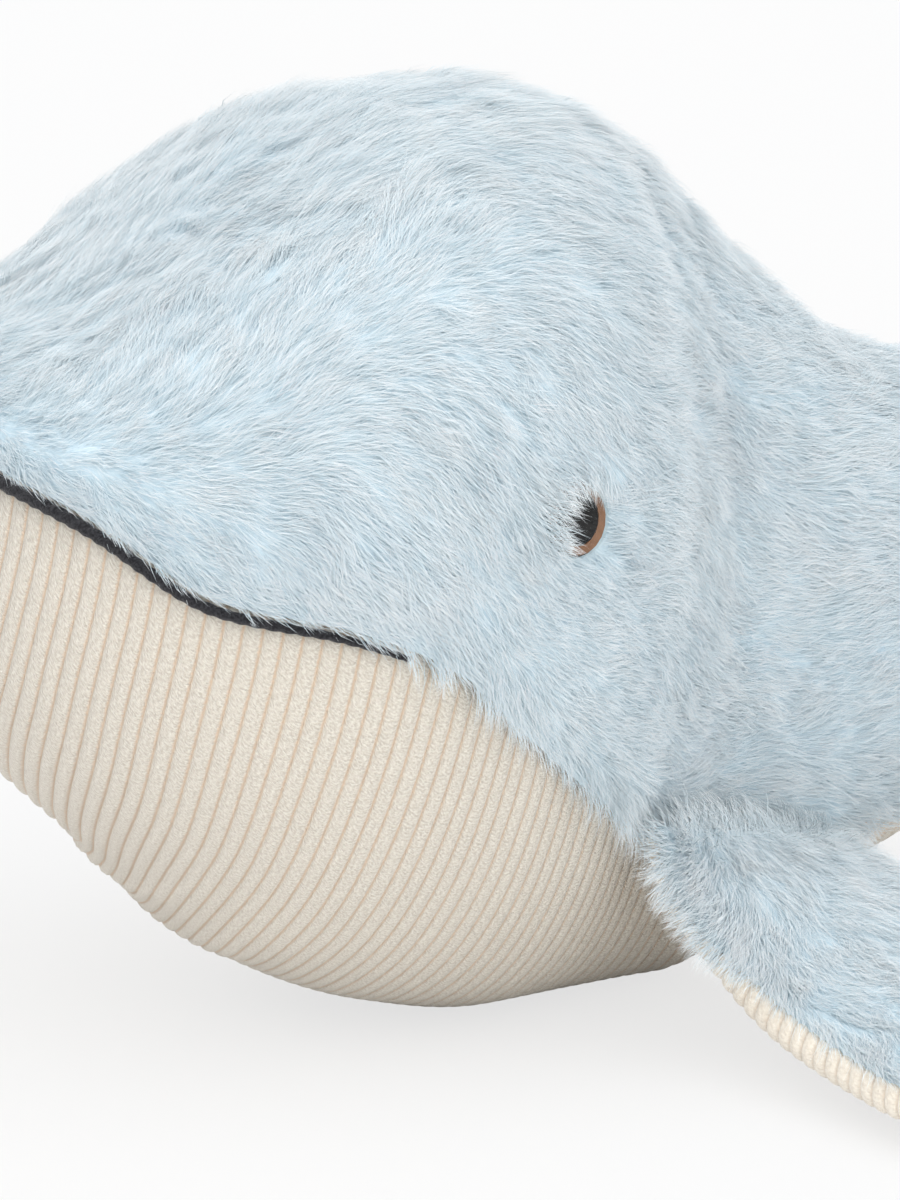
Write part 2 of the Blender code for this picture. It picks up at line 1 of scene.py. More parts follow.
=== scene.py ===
# %% [markdown]
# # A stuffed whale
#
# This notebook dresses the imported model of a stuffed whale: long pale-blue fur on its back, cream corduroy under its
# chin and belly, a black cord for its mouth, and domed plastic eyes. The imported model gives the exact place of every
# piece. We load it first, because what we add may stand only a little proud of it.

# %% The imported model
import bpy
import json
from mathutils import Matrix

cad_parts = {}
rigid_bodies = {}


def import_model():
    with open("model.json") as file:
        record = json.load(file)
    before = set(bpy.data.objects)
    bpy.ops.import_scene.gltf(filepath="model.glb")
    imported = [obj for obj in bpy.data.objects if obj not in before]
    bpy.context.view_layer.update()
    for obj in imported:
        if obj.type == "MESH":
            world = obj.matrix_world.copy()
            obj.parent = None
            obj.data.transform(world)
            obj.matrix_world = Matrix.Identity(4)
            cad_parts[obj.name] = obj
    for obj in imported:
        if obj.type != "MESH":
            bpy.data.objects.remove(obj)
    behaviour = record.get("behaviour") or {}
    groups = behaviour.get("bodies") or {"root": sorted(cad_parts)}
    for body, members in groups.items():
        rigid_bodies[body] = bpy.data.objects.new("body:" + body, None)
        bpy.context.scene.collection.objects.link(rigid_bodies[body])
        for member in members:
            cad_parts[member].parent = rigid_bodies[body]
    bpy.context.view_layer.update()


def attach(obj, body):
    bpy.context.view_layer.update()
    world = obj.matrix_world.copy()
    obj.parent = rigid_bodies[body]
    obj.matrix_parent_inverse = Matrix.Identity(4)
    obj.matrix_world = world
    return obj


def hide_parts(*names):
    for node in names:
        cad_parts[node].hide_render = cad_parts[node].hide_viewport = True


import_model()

# %% [markdown]
# The pieces are made with numpy, because a coat of nearly four hundred thousand strands is far too slow to make one
# vertex at a time. Each piece starts as a table of points, and one helper turns that table into a mesh in a few
# calls. Another helper adds a shader node together with all that it is given.

# %% Tools for the whole notebook
import json
import math
import bpy
import numpy as np
from mathutils import Vector, kdtree

MM = 0.001
TINY = 1e-12  # keeps a division by a length of nothing possible
dice = np.random.default_rng(1960)


def unit(vectors):
    """The same directions, one metre long."""
    return vectors / np.maximum(np.linalg.norm(vectors, axis=-1, keepdims=True), TINY)


def mesh_from(name, points, loops, starts):
    """A smooth mesh from flat arrays: points, the corners of all faces in a row, and where each face starts."""
    mesh = bpy.data.meshes.new(name)
    mesh.vertices.add(len(points))
    mesh.vertices.foreach_set("co", np.asarray(points, np.float32).ravel())
    mesh.loops.add(len(loops))
    mesh.loops.foreach_set("vertex_index", np.asarray(loops, np.int32))
    mesh.polygons.add(len(starts))
    mesh.polygons.foreach_set("loop_start", np.asarray(starts, np.int32))
    mesh.update(calc_edges=True)
    mesh.polygons.foreach_set("use_smooth", np.ones(len(starts), bool))
    return mesh


def piece_from(mesh, materials, body, stands_for=()):
    """Puts a mesh in the scene as a piece of the same name that rides on a body."""
    for material in materials:
        mesh.materials.append(material)
    piece = bpy.data.objects.new(mesh.name, mesh)
    bpy.context.collection.objects.link(piece)
    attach(piece, body)
    if stands_for:
        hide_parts(*stands_for)
    return piece


def grid_mesh(name, grid, layout=None, flip=False):
    """A sheet of squares over a table of points, without those that have no area. layout gives each point's place
    on the flat cloth, as a UV map."""
    rows, columns = grid.shape[:2]
    index = np.arange(rows * columns).reshape(rows, columns)
    corners = np.stack([index[:-1, :-1], index[1:, :-1], index[1:, 1:], index[:-1, 1:]], -1)
    if flip:
        corners = corners[..., ::-1]
    corners = corners.reshape(-1, 4)
    spots = grid.reshape(-1, 3)[corners]
    sized = np.linalg.norm(np.cross(spots[:, 2] - spots[:, 0], spots[:, 3] - spots[:, 1]), axis=1) > TINY
    loops = corners[sized].reshape(-1)
    mesh = mesh_from(name, grid.reshape(-1, 3), loops, np.arange(0, len(loops), 4))
    if layout is not None:
        flat = mesh.uv_layers.new(name="cloth")
        flat.data.foreach_set("uv", layout.reshape(-1, 2)[loops].astype(np.float32).ravel())
    return mesh


def add_node(tree, kind, inputs=None, **settings):
    """A new node. Each of its inputs gets a number, a colour or another node's output."""
    node = tree.nodes.new(kind)
    for key, value in settings.items():
        setattr(node, key, value)
    for key, value in (inputs or {}).items():
        if isinstance(value, bpy.types.NodeSocket):
            tree.links.new(value, node.inputs[key])
        else:
            node.inputs[key].default_value = value
    return node


def maths(tree, operation, *values, clamp=False):
    """One arithmetic step."""
    return add_node(
        tree, "ShaderNodeMath", dict(enumerate(values)), operation=operation, use_clamp=clamp
    ).outputs[0]


def mix_shaders(tree, share, first, second):
    return add_node(tree, "ShaderNodeMixShader", {0: share, 1: first, 2: second}).outputs[0]


# %% [markdown]
# ## Camera, light and floor
#
# The photograph was taken with a long lens from the whale's left, a little from the front and a little from above, so
# close that the snout and the tail are cut off. Studio cloth and fur look soft because the light comes from
# everywhere, so a bright world does most of the work here. Two very wide lamps stand behind the camera: one high up,
# which gives the light a gentle direction, and a much weaker one almost level with it. A small soft box beside the
# whale fills the shade by the fin. White paper below throws light back under the chin. To the camera alone the paper
# also glows, as an overexposed backdrop does, so the shadow on it stays pale.

# %% Camera
MIDDLE = 0.184198  # from the tip of the snout's pole back to the model's origin
CAMERA_TURN, CAMERA_RISE, CAMERA_DISTANCE = math.radians(-25), math.radians(12), 0.9
VIEW_PLACE, VIEW_HEIGHT = 0.114, 0.076  # the middle of the picture, back from the snout and above the table
VIEW_WIDTH = 0.228
looks_at = Vector((VIEW_PLACE - MIDDLE, 0.0, VIEW_HEIGHT))
towards = Vector((
    math.sin(CAMERA_TURN) * math.cos(CAMERA_RISE),
    -math.cos(CAMERA_TURN) * math.cos(CAMERA_RISE),
    math.sin(CAMERA_RISE),
))
lens = bpy.data.cameras.new("camera")
lens.sensor_width = 36.0
lens.lens = lens.sensor_width * CAMERA_DISTANCE / VIEW_WIDTH
lens.clip_start = 0.01
camera = bpy.data.objects.new("camera", lens)
camera.location = looks_at + towards * CAMERA_DISTANCE
camera.rotation_euler = (-towards).to_track_quat("-Z", "Y").to_euler()
bpy.context.collection.objects.link(camera)
bpy.context.scene.camera = camera
bpy.context.scene.view_settings.view_transform = "Standard"
print("lens:", round(lens.lens, 1), "mm")

# %% World
SKY_COLOUR, SKY_STRENGTH = (0.985, 0.99, 1.0, 1.0), 0.83
BACKDROP_COLOUR = (0.94, 0.94, 0.94, 1.0)
world = bpy.data.worlds.new("studio")
world.use_nodes = True
bpy.context.scene.world = world
tree = world.node_tree
tree.nodes.clear()
path = add_node(tree, "ShaderNodeLightPath")
shown = path.outputs["Is Camera Ray"]
for kind in ("Is Glossy Ray", "Is Transmission Ray"):
    shown = maths(tree, "MAXIMUM", shown, path.outputs[kind])
sky = add_node(tree, "ShaderNodeBackground", {"Color": SKY_COLOUR, "Strength": SKY_STRENGTH})
backdrop = add_node(tree, "ShaderNodeBackground", {"Color": BACKDROP_COLOUR, "Strength": 1.0})
seen = mix_shaders(tree, shown, sky.outputs[0], backdrop.outputs[0])
add_node(tree, "ShaderNodeOutputWorld", {"Surface": seen})

# %% Lamps
SIDE_PLACE, SIDE_AIM = Vector((-0.14, -0.42, 0.16)), Vector((-0.03, -0.05, 0.02))


def add_lamp(name, kind, energy, direction, place=(0, 0, 0)):
    """A lamp that shines in a direction."""
    lamp = bpy.data.objects.new(name, bpy.data.lights.new(name, kind))
    lamp.data.energy = energy
    lamp.location = place
    lamp.rotation_euler = Vector(direction).to_track_quat("-Z", "Y").to_euler()
    bpy.context.collection.objects.link(lamp)
    return lamp


for name, spread, energy, direction in (
    ("soft_light", 80, 1.45, (0.24, 0.40, -0.88)),
    ("low_fill", 60, 0.08, (0.42, 0.90, -0.10)),
):
    add_lamp(name, "SUN", energy, direction).data.angle = math.radians(spread)
side_lamp = add_lamp("low_side_light", "AREA", 0.15, SIDE_AIM - SIDE_PLACE, SIDE_PLACE)
side_lamp.data.size = 0.3
side_lamp.visible_camera = False

# %% Floor
FLOOR_REACH, FLOOR_HEIGHT = 6, -0.0003
PAPER_COLOUR, GLOW_COLOUR = (0.96, 0.96, 0.96, 1.0), (0.92, 0.92, 0.92, 1.0)
GLOW_SHARE = 0.78  # how much of the floor that the camera sees is glow, and not lit paper
floor_corners = [(x * FLOOR_REACH, y * FLOOR_REACH, FLOOR_HEIGHT) for x, y in ((-1, -1), (1, -1), (1, 1), (-1, 1))]
floor_mesh = bpy.data.meshes.new("floor")
floor_mesh.from_pydata(floor_corners, [], [(0, 1, 2, 3)])
floor = bpy.data.objects.new("floor", floor_mesh)
bpy.context.collection.objects.link(floor)
floor_paper = bpy.data.materials.new("floor_paper")
floor_paper.use_nodes = True
tree = floor_paper.node_tree
shader = tree.nodes["Principled BSDF"]
shader.inputs["Base Color"].default_value = PAPER_COLOUR
shader.inputs["Roughness"].default_value = 0.9
shader.inputs["Specular IOR Level"].default_value = 0.0
path = add_node(tree, "ShaderNodeLightPath")
glowing = maths(tree, "MULTIPLY", path.outputs["Is Camera Ray"], GLOW_SHARE)
bright = add_node(tree, "ShaderNodeEmission", {"Color": GLOW_COLOUR})
lightened = mix_shaders(tree, glowing, shader.outputs[0], bright.outputs[0])
tree.links.new(lightened, tree.nodes["Material Output"].inputs["Surface"])
floor_mesh.materials.append(floor_paper)
print("floor and light are set")

# %% [markdown]
# ## The shape of the body
#
# The body is one closed form: a deep round head that narrows behind the eyes into a long rising tail. It is drawn
# like a ship's hull, from cross-sections. Each row of the table is one section, with its place along the body, its
# top, bottom, half width, widest height, slope and seam height, all as shares of the body's size. A smooth curve
# through each column gives every section between. Any point on the skin then has just two numbers: its place along
# the body, and its turn from the top (0) round to the bottom (1), with the left flank negative.

# %% Body sections
BODY_LENGTH, BODY_HEIGHT, BODY_HALF_WIDTH = 0.307, 0.176, 0.082
SNOUT, TAIL_END, FLOOR_DROP = 0.076, 0.008, 0.002
UPPER_FULLNESS, LOWER_FULLNESS = 2.1, 2.2
FINE_STEP = 0.002  # share of the way round, or of the way to the nearer end, that slopes are measured over
body_sections = np.array([
    (0.000, 0.841, 0.284, 1.000, 0.699, 0.22, 0.699),
    (0.065, 0.835, 0.256, 1.000, 0.653, 0.22, 0.632),
    (0.130, 0.892, 0.217, 1.000, 0.619, 0.21, 0.555),
    (0.195, 0.963, 0.166, 1.000, 0.585, 0.20, 0.526),
    (0.261, 0.994, 0.077, 0.994, 0.557, 0.18, 0.477),
    (0.326, 1.000, 0.025, 0.957, 0.534, 0.15, 0.384),
    (0.391, 0.981, 0.000, 0.854, 0.500, 0.11, 0.295),
    (0.446, 0.946, 0.000, 0.695, 0.466, 0.06, 0.233),
    (0.495, 0.895, 0.000, 0.579, 0.432, 0.01, 0.199),
    (0.560, 0.807, 0.060, 0.561, 0.403, -0.04, 0.182),
    (0.651, 0.702, 0.131, 0.524, 0.403, -0.11, 0.210),
    (0.733, 0.670, 0.222, 0.451, 0.449, -0.15, 0.295),
    (0.847, 0.682, 0.364, 0.329, 0.528, -0.22, 0.443),
    (0.928, 0.699, 0.489, 0.256, 0.597, -0.26, 0.551),
    (1.000, 0.716, 0.597, 0.220, 0.656, -0.30, 0.656),
])


def smooth_curve(places, values):
    """A curve through the values that makes no bump between them, for whole arrays of places."""
    places, values = np.asarray(places, float), np.asarray(values, float)
    steps = np.diff(places)
    rates = np.diff(values) / steps
    slopes = np.zeros(len(values))
    slopes[0], slopes[-1] = rates[0], rates[-1]
    for i in range(1, len(rates)):
        if rates[i - 1] * rates[i] > 0:
            before, after = 2 * steps[i] + steps[i - 1], steps[i] + 2 * steps[i - 1]
            slopes[i] = (before + after) / (before / rates[i - 1] + after / rates[i])

    def value(place):
        place = np.clip(place, places[0], places[-1])
        i = np.clip(np.searchsorted(places, place) - 1, 0, len(steps) - 1)
        t = (place - places[i]) / steps[i]
        bend = steps[i] * t * (1 - t) * ((1 - t) * slopes[i] - t * slopes[i + 1])
        return values[i] + (values[i + 1] - values[i]) * (3 - 2 * t) * t * t + bend

    return value


section_curves = [smooth_curve(body_sections[:, 0], body_sections[:, k]) for k in range(1, 7)]


def section(place):
    """Widest height, rise above it, drop below it, half width, slope and seam height at a place along the body."""
    top, bottom, width, widest, slope, seam = [curve(place / BODY_LENGTH) for curve in section_curves]
    from_snout = np.minimum(place / SNOUT, 1)
    from_tail = np.minimum((BODY_LENGTH - place) / TAIL_END, 1)
    opened = np.sqrt(1 - (1 - from_snout) ** 2) * np.sqrt(1 - (1 - from_tail) ** 2)
    return (
        widest * BODY_HEIGHT - FLOOR_DROP,
        (top - widest) * BODY_HEIGHT * opened,
        (widest - bottom) * BODY_HEIGHT * opened,
        width * BODY_HALF_WIDTH * opened,
        slope,
        seam * BODY_HEIGHT - FLOOR_DROP,
    )


def skin(place, turn):
    """Points on the outside of the body."""
    place, turn = np.broadcast_arrays(np.asarray(place, float), np.asarray(turn, float))
    turn = (turn + 1) % 2 - 1
    widest, above, below, half_width, slope, _ = section(place)
    upright, sideways = np.cos(turn * np.pi), np.abs(np.sin(turn * np.pi))
    fullness = np.where(upright >= 0, UPPER_FULLNESS, LOWER_FULLNESS)
    height = np.where(upright >= 0, above, -below) * np.abs(upright) ** (2 / fullness)
    outward = np.where(turn < 0, -1, 1) * half_width * sideways ** (2 / fullness)
    return np.stack([place + slope * height - MIDDLE, outward, widest + height], -1)


def skin_frame(place, turn):
    """Points on the body, with the directions out of it, along it towards the tail, and round it down the flank."""
    place, turn = np.broadcast_arrays(np.asarray(place, float), np.asarray(turn, float))
    step = FINE_STEP * np.minimum(place, BODY_LENGTH - place)
    along = skin(place + step, turn) - skin(place - step, turn)
    around = skin(place, turn + FINE_STEP) - skin(place, turn - FINE_STEP)
    out = unit(np.cross(along, around))
    down = unit(around) * np.where(turn < 0, -1, 1)[..., None]
    return skin(place, turn), out, unit(along), down


def under_skin(place, turn, depth):
    point, out, _, _ = skin_frame(place, turn)
    return point - out * np.asarray(depth)[..., None]


def seam_turn(place):
    """How far round from the top the seam between fur and corduroy lies."""
    widest, above, below, _, _, seam = section(place)
    over = np.arccos(np.clip((seam - widest) / above, 0, 1) ** (UPPER_FULLNESS / 2)) / np.pi
    under = 0.5 + np.arcsin(np.clip((widest - seam) / below, 0, 1) ** (LOWER_FULLNESS / 2)) / np.pi
    return np.where(seam >= widest, over, under)


def turn_per_metre(place, turn):
    """How much turn one metre round the body covers."""
    return FINE_STEP / np.linalg.norm(skin(place, turn + FINE_STEP) - skin(place, turn), axis=-1)


def spread_places(count):
    """Places from snout to tail, closer together at both ends, where the body closes."""
    share = np.linspace(0.004, 1, count // 3, endpoint=False)
    snout = SNOUT * (1 - np.cos(share * np.pi / 2))
    middle = np.linspace(SNOUT, BODY_LENGTH - TAIL_END, count // 2, endpoint=False)
    tail = BODY_LENGTH - TAIL_END + TAIL_END * np.sin(np.linspace(0, 0.985, count // 6) * np.pi / 2)
    return np.concatenate([snout, middle, tail])


print("top of the head:", np.round(skin(0.1, 0.0) / MM, 1), "mm")

# %% [markdown]
# ## Materials
#
# Corduroy is the most particular cloth here. Its pile stands in thick rows called wales, with a bare tan groove
# between each two, and the pile itself is a mottle of tiny tufts. The belly, the fins and the flukes all use it, so
# the effect is one node group. It reads the cloth's flat layout, where one unit along U is one wale, and gives out a
# groove mask, a tone and a height. The shader stays in the material.

# %% Corduroy node group
RAGGED_EDGE, GROOVE_DROP = 0.30, 0.25  # how far a groove's edge wanders, and how deep the bump map makes it
TUFT_SHAPE = (0.7, 1.25, 1.0)  # tufts are longer across a wale than along it


def blend_colours(tree, share, first, second):
    return add_node(tree, "ShaderNodeMix", {0: share, 6: first, 7: second}, data_type="RGBA").outputs[2]


def smooth_step(tree, value, low, high):
    inputs = {"Value": value, "From Min": low, "From Max": high}
    return add_node(tree, "ShaderNodeMapRange", inputs, interpolation_type="SMOOTHSTEP").outputs[0]


def noise(tree, place, scale, detail, roughness=0.5):
    inputs = {"Vector": place, "Scale": scale, "Detail": detail, "Roughness": roughness}
    return add_node(tree, "ShaderNodeTexNoise", inputs).outputs[0]


def new_group(name, inputs, outputs):
    tree = bpy.data.node_groups.new(name, "ShaderNodeTree")
    for label, kind, start in inputs:
        socket = tree.interface.new_socket(label, in_out="INPUT", socket_type=kind)
        if start is not None:
            socket.default_value = start
    for label, kind in outputs:
        tree.interface.new_socket(label, in_out="OUTPUT", socket_type=kind)
    return tree, tree.nodes.new("NodeGroupInput").outputs, tree.nodes.new("NodeGroupOutput").inputs


wales, given, result = new_group(
    "corduroy_wales",
    [("Layout", "NodeSocketVector", None), ("Groove Width", "NodeSocketFloat", 0.16),
     ("Tufts Per Wale", "NodeSocketFloat", 5.0)],
    [("Groove", "NodeSocketFloat"), ("Tone", "NodeSocketFloat"), ("Height", "NodeSocketFloat")],
)
split = add_node(wales, "ShaderNodeSeparateXYZ", {0: given["Layout"]})
from_middle = maths(wales, "SUBTRACT", maths(wales, "FRACT", split.outputs[0]), 0.5)
from_crest = maths(wales, "MULTIPLY", maths(wales, "ABSOLUTE", from_middle), 2.0)
wander = maths(wales, "SUBTRACT", noise(wales, given["Layout"], 6.0, 2.0), 0.5)
ragged = maths(wales, "MULTIPLY_ADD", wander, RAGGED_EDGE, from_crest)
groove_start = maths(wales, "SUBTRACT", 1.0, given["Groove Width"])
past_start = maths(wales, "SUBTRACT", ragged, groove_start)
groove = maths(wales, "DIVIDE", past_start, given["Groove Width"], clamp=True)
tuft_place = add_node(wales, "ShaderNodeVectorMath", {0: given["Layout"], 1: TUFT_SHAPE}, operation="MULTIPLY")
tufts = noise(wales, tuft_place.outputs[0], given["Tufts Per Wale"], 3.0, 0.6)
wales.links.new(groove, result["Groove"])
wales.links.new(smooth_step(wales, tufts, 0.34, 0.66), result["Tone"])
wales.links.new(maths(wales, "SUBTRACT", tufts, maths(wales, "MULTIPLY", groove, GROOVE_DROP)), result["Height"])
print("node group:", wales.name)
print("node group:", wales.name)

# %% [markdown]
# The fur's backing, the mouth cord and the filling are all made of fibre that is a little lighter here and a little
# darker there. They share a second, simpler group: noise in the object's own space, so that it needs no layout.

# %% Fibre node group
FIBRE_BUMP = 0.3 * MM
fibre, given, result = new_group(
    "fibre_mottle", [("Scale", "NodeSocketFloat", 400.0)],
    [("Tone", "NodeSocketFloat"), ("Height", "NodeSocketFloat")],
)
fibre_noise = noise(fibre, add_node(fibre, "ShaderNodeTexCoord").outputs["Object"], given["Scale"], 4.0)
fibre.links.new(smooth_step(fibre, fibre_noise, 0.3, 0.7), result["Tone"])
fibre.links.new(fibre_noise, result["Height"])


def cloth_material(name, roughness, sheen):
    material = bpy.data.materials.new(name)
    material.use_nodes = True
    shader = material.node_tree.nodes["Principled BSDF"]
    shader.inputs["Roughness"].default_value = roughness
    shader.inputs["Sheen Weight"].default_value = sheen
    shader.inputs["Specular IOR Level"].default_value = 0.2
    return material, material.node_tree, shader


def add_bump(tree, shader, height, distance):
    bump = add_node(tree, "ShaderNodeBump", {"Distance": distance, "Strength": 1.0, "Height": height})
    tree.links.new(bump.outputs[0], shader.inputs["Normal"])


def fibre_material(name, dark, light, scale, roughness):
    material, tree, shader = cloth_material(name, roughness, 0.2)
    group = add_node(tree, "ShaderNodeGroup", node_tree=fibre)
    group.inputs["Scale"].default_value = scale
    tree.links.new(blend_colours(tree, group.outputs["Tone"], dark, light), shader.inputs["Base Color"])
    add_bump(tree, shader, group.outputs["Height"], FIBRE_BUMP)
    return material


def corduroy_material(name, dark, light, groove, tufts, bump):
    material, tree, shader = cloth_material(name, 0.95, 0.35)
    layout = add_node(tree, "ShaderNodeUVMap", uv_map="cloth")
    group = add_node(tree, "ShaderNodeGroup", node_tree=wales)
    tree.links.new(layout.outputs[0], group.inputs["Layout"])
    group.inputs["Groove Width"].default_value = 0.26
    group.inputs["Tufts Per Wale"].default_value = tufts
    nap = blend_colours(tree, group.outputs["Tone"], dark, light)
    tree.links.new(blend_colours(tree, group.outputs["Groove"], nap, groove), shader.inputs["Base Color"])
    add_bump(tree, shader, group.outputs["Height"], bump)
    return material


corduroy = corduroy_material(
    "corduroy_cream", (0.69, 0.62, 0.525, 1), (0.91, 0.86, 0.76, 1), (0.84, 0.64, 0.46, 1), 7.0, 0.0008
)
limb_corduroy = corduroy_material(
    "corduroy_limbs", (0.76, 0.69, 0.59, 1), (0.86, 0.80, 0.70, 1), (0.78, 0.67, 0.55, 1), 5.0, 0.0004
)
# The backing's blue is painted shade: darker than the strands, for the gaps between tufts on body, fins and flukes.
fur_backing = fibre_material("fur_backing", (0.58, 0.72, 0.80, 1), (0.66, 0.79, 0.85, 1), 500, 0.95)
cord_fibre = fibre_material("cord_fibre", (0.006, 0.006, 0.008, 1), (0.035, 0.035, 0.04, 1), 2500, 0.85)
filling = fibre_material("filling_fibre", (0.72, 0.72, 0.70, 1), (0.92, 0.92, 0.90, 1), 300, 0.95)
print("cloth materials:", corduroy.name, fur_backing.name, cord_fibre.name, filling.name)

# %% [markdown]
# A strand of fur is thinner than a pixel, so it needs no pattern of its own. The pattern comes from thousands of
# strands that differ: darker and bluer near the skin, as painted shade down in the pile, almost white at the tips,
# and no two tufts quite alike. So the pile has a few plain materials, one for each depth and tint, and each face of a
# strand picks one. Plain materials also spare the finished model a picture of every strand's surface.

# %% Pile materials
# pile_root_painted_shade and pile_shade are painted shade: darker tints for the lower part of each strand, deep in the
# pile.
pile_tints = {
    "pile_root_painted_shade": (0.66, 0.795, 0.86, 1),
    "pile_shade": (0.73, 0.85, 0.905, 1),
    "pile_blue": (0.79, 0.89, 0.935, 1),
    "pile_pale": (0.85, 0.92, 0.95, 1),
    "pile_white": (0.90, 0.94, 0.955, 1),
    "pile_grey": (0.85, 0.875, 0.90, 1),
}
pile_materials = []
for name, colour in pile_tints.items():
    material, _, shader = cloth_material(name, 0.7, 0.3)
    shader.inputs["Sheen Roughness"].default_value = 0.45
    shader.inputs["Base Color"].default_value = colour
    pile_materials.append(material)
print("pile tints:", len(pile_materials))

# %% [markdown]
# ## The belly
#
# The chin and belly are one panel of corduroy, sewn to the fur along both flanks. Its wales run down one flank, under
# the belly and up the other. Cloth does not stretch much, so the wales keep their distance from one another on every
# path along the body. To lay them out, we measure how long each path from snout to tail is, and count wales along it
# from a line under the eye. Under the chin the panel is eased towards the tail, as it must be to go round the curve,
# and behind the belly a little towards the snout. It is also cut a little off the grain, so the wales cross the
# middle of the chin at a slant. The rows of the mesh follow the wales, eight to a wale, so that every groove falls
# on a row of points and stays crisp.

# %% Wale layout
WALE_PITCH, WALE_ROWS = 3.5 * MM, 8
COUNT_FROM = 0.076  # the place of the line that wales are counted from
PANEL_OVERLAP = 1.2 * MM  # how far the corduroy runs up behind the edge of the fur
COLUMNS = 97
dense_places = spread_places(2400)
shares_across = np.linspace(0, 2, COLUMNS)


def smooth_ramp(value, low, high):
    t = np.clip((value - low) / (high - low), 0, 1)
    return t * t * (3 - 2 * t)


def belly_round(place, share):
    """How far round the body a share of the way across the panel is: 0 just over the left seam, 1 the middle of the
    belly, 2 just over the right seam. It is the turn on the left flank, and 2 less the turn on the right."""
    seam = seam_turn(place)
    first = seam - turn_per_metre(place, seam) * PANEL_OVERLAP
    return first + (1 - first) * share


ease_places = [0, 0.03, 0.05, 0.07, 0.09, 0.12, 0.16, BODY_LENGTH]
flank_ease = smooth_curve(ease_places, [0.25, 0.25, 0.20, 0.10, 0.00, -0.10, -0.20, 0.0])
middle_ease = smooth_curve(ease_places, [0.50, 0.50, 0.55, 0.52, 0.38, 0.15, 0.00, 0.0])
place_table = np.repeat(dense_places[:, None], COLUMNS, axis=1)
round_table = belly_round(place_table, shares_across[None, :])
cloth_table = skin(place_table, -round_table)
lengths = np.linalg.norm(np.diff(cloth_table, axis=0), axis=-1)
lengths = np.concatenate([np.zeros((1, COLUMNS)), np.cumsum(lengths, axis=0)])
lengths -= lengths[np.abs(dense_places - COUNT_FROM).argmin()]
widths = np.linalg.norm(np.diff(cloth_table, axis=1), axis=-1)
towards_middle = smooth_ramp(round_table, 0.80, 1.0)
eased = flank_ease(place_table) * smooth_ramp(round_table, 0.60, 0.80) * (1 - towards_middle)
eased += middle_ease(place_table) * towards_middle * (1 - smooth_ramp(round_table, 1.0, 1.25))
shift = np.concatenate([np.zeros((len(dense_places), 1)), np.cumsum(widths * eased[:, 1:], axis=1)], axis=1)
cloth_table = lengths - shift
first_wale, last_wale = int(cloth_table.min() / WALE_PITCH), int(cloth_table.max() / WALE_PITCH)
wale_numbers = np.arange(first_wale * WALE_ROWS, last_wale * WALE_ROWS + 1) / WALE_ROWS
place_grid = np.stack([
    np.interp(wale_numbers * WALE_PITCH, np.maximum.accumulate(cloth_table[:, k]), dense_places)
    for k in range(COLUMNS)
], axis=1)
print("wales along the body:", last_wale - first_wale)


# %% [markdown]
# The pile of a wale is a soft flat-topped ridge. It stands highest under the chin, where the cloth bends most and the
# ridges fan open, and that is what gives the chin its scalloped outline. Along the middle the panel is drawn in under
# the snout, and pushed out again behind the chin, where the cloth lies in a shallow fold. At the seam it dips under
# the edge of the fur.

# %% Belly panel
CORDUROY_DEPTH, WALE_HEIGHT = 1.8 * MM, 0.5 * MM
SEAM_DIP, SEAM_DIP_WIDTH = 0.7 * MM, 1.8 * MM


def wale_shape(number):
    """How far the pile stands, from 0 in a groove to 1 on the crest of a wale."""
    from_crest = np.abs(number % 1 - 0.5) * 2
    return 1 - from_crest**2.8


turns = (1 - belly_round(place_grid, shares_across[None, :])) % 2 - 1
number_grid = np.repeat(wale_numbers[:, None], COLUMNS, axis=1)
seam = seam_turn(place_grid)
from_seam = (np.abs(turns) - seam) / turn_per_metre(place_grid, np.abs(turns))
tuck = np.clip(1 - from_seam / SEAM_DIP_WIDTH, 0, 2) ** 2 * SEAM_DIP
under_chin = (1 - smooth_ramp(place_grid, 0.035, 0.075)) * smooth_ramp(np.abs(turns), 0.7, 0.85)
height = WALE_HEIGHT * (1 + 0.8 * under_chin)
fold_places = [0.0, 0.015, 0.036, 0.043, 0.0485, 0.0535, 0.057, 0.0592, 0.066, 0.0705, 0.0735, 0.078]
fold_depths = [0.0, 1.0, 1.7, 1.6, 1.2, 0.6, 0.0, -1.5, -1.4, -1.9, -1.4, 0.0]
tucked_up = np.interp(place_grid, fold_places, fold_depths) * MM * smooth_ramp(np.abs(turns), 0.78, 0.93)
depth = CORDUROY_DEPTH - height * wale_shape(number_grid) + tuck + tucked_up
belly_grid = under_skin(place_grid, turns, depth)
belly_grid[..., 2] = np.maximum(belly_grid[..., 2], 0.0)
steps = np.linalg.norm(np.diff(belly_grid, axis=1), axis=2)
across_cloth = np.concatenate([np.zeros((len(steps), 1)), np.cumsum(steps, axis=1)], axis=1)
across_cloth -= across_cloth[:, [COLUMNS // 2]]
belly = piece_from(
    grid_mesh("belly_panel", belly_grid, np.stack([number_grid, across_cloth / WALE_PITCH], -1)),
    [corduroy], "body", ["belly_corduroy"],
)
print("belly panel:", len(belly.data.polygons), "faces")
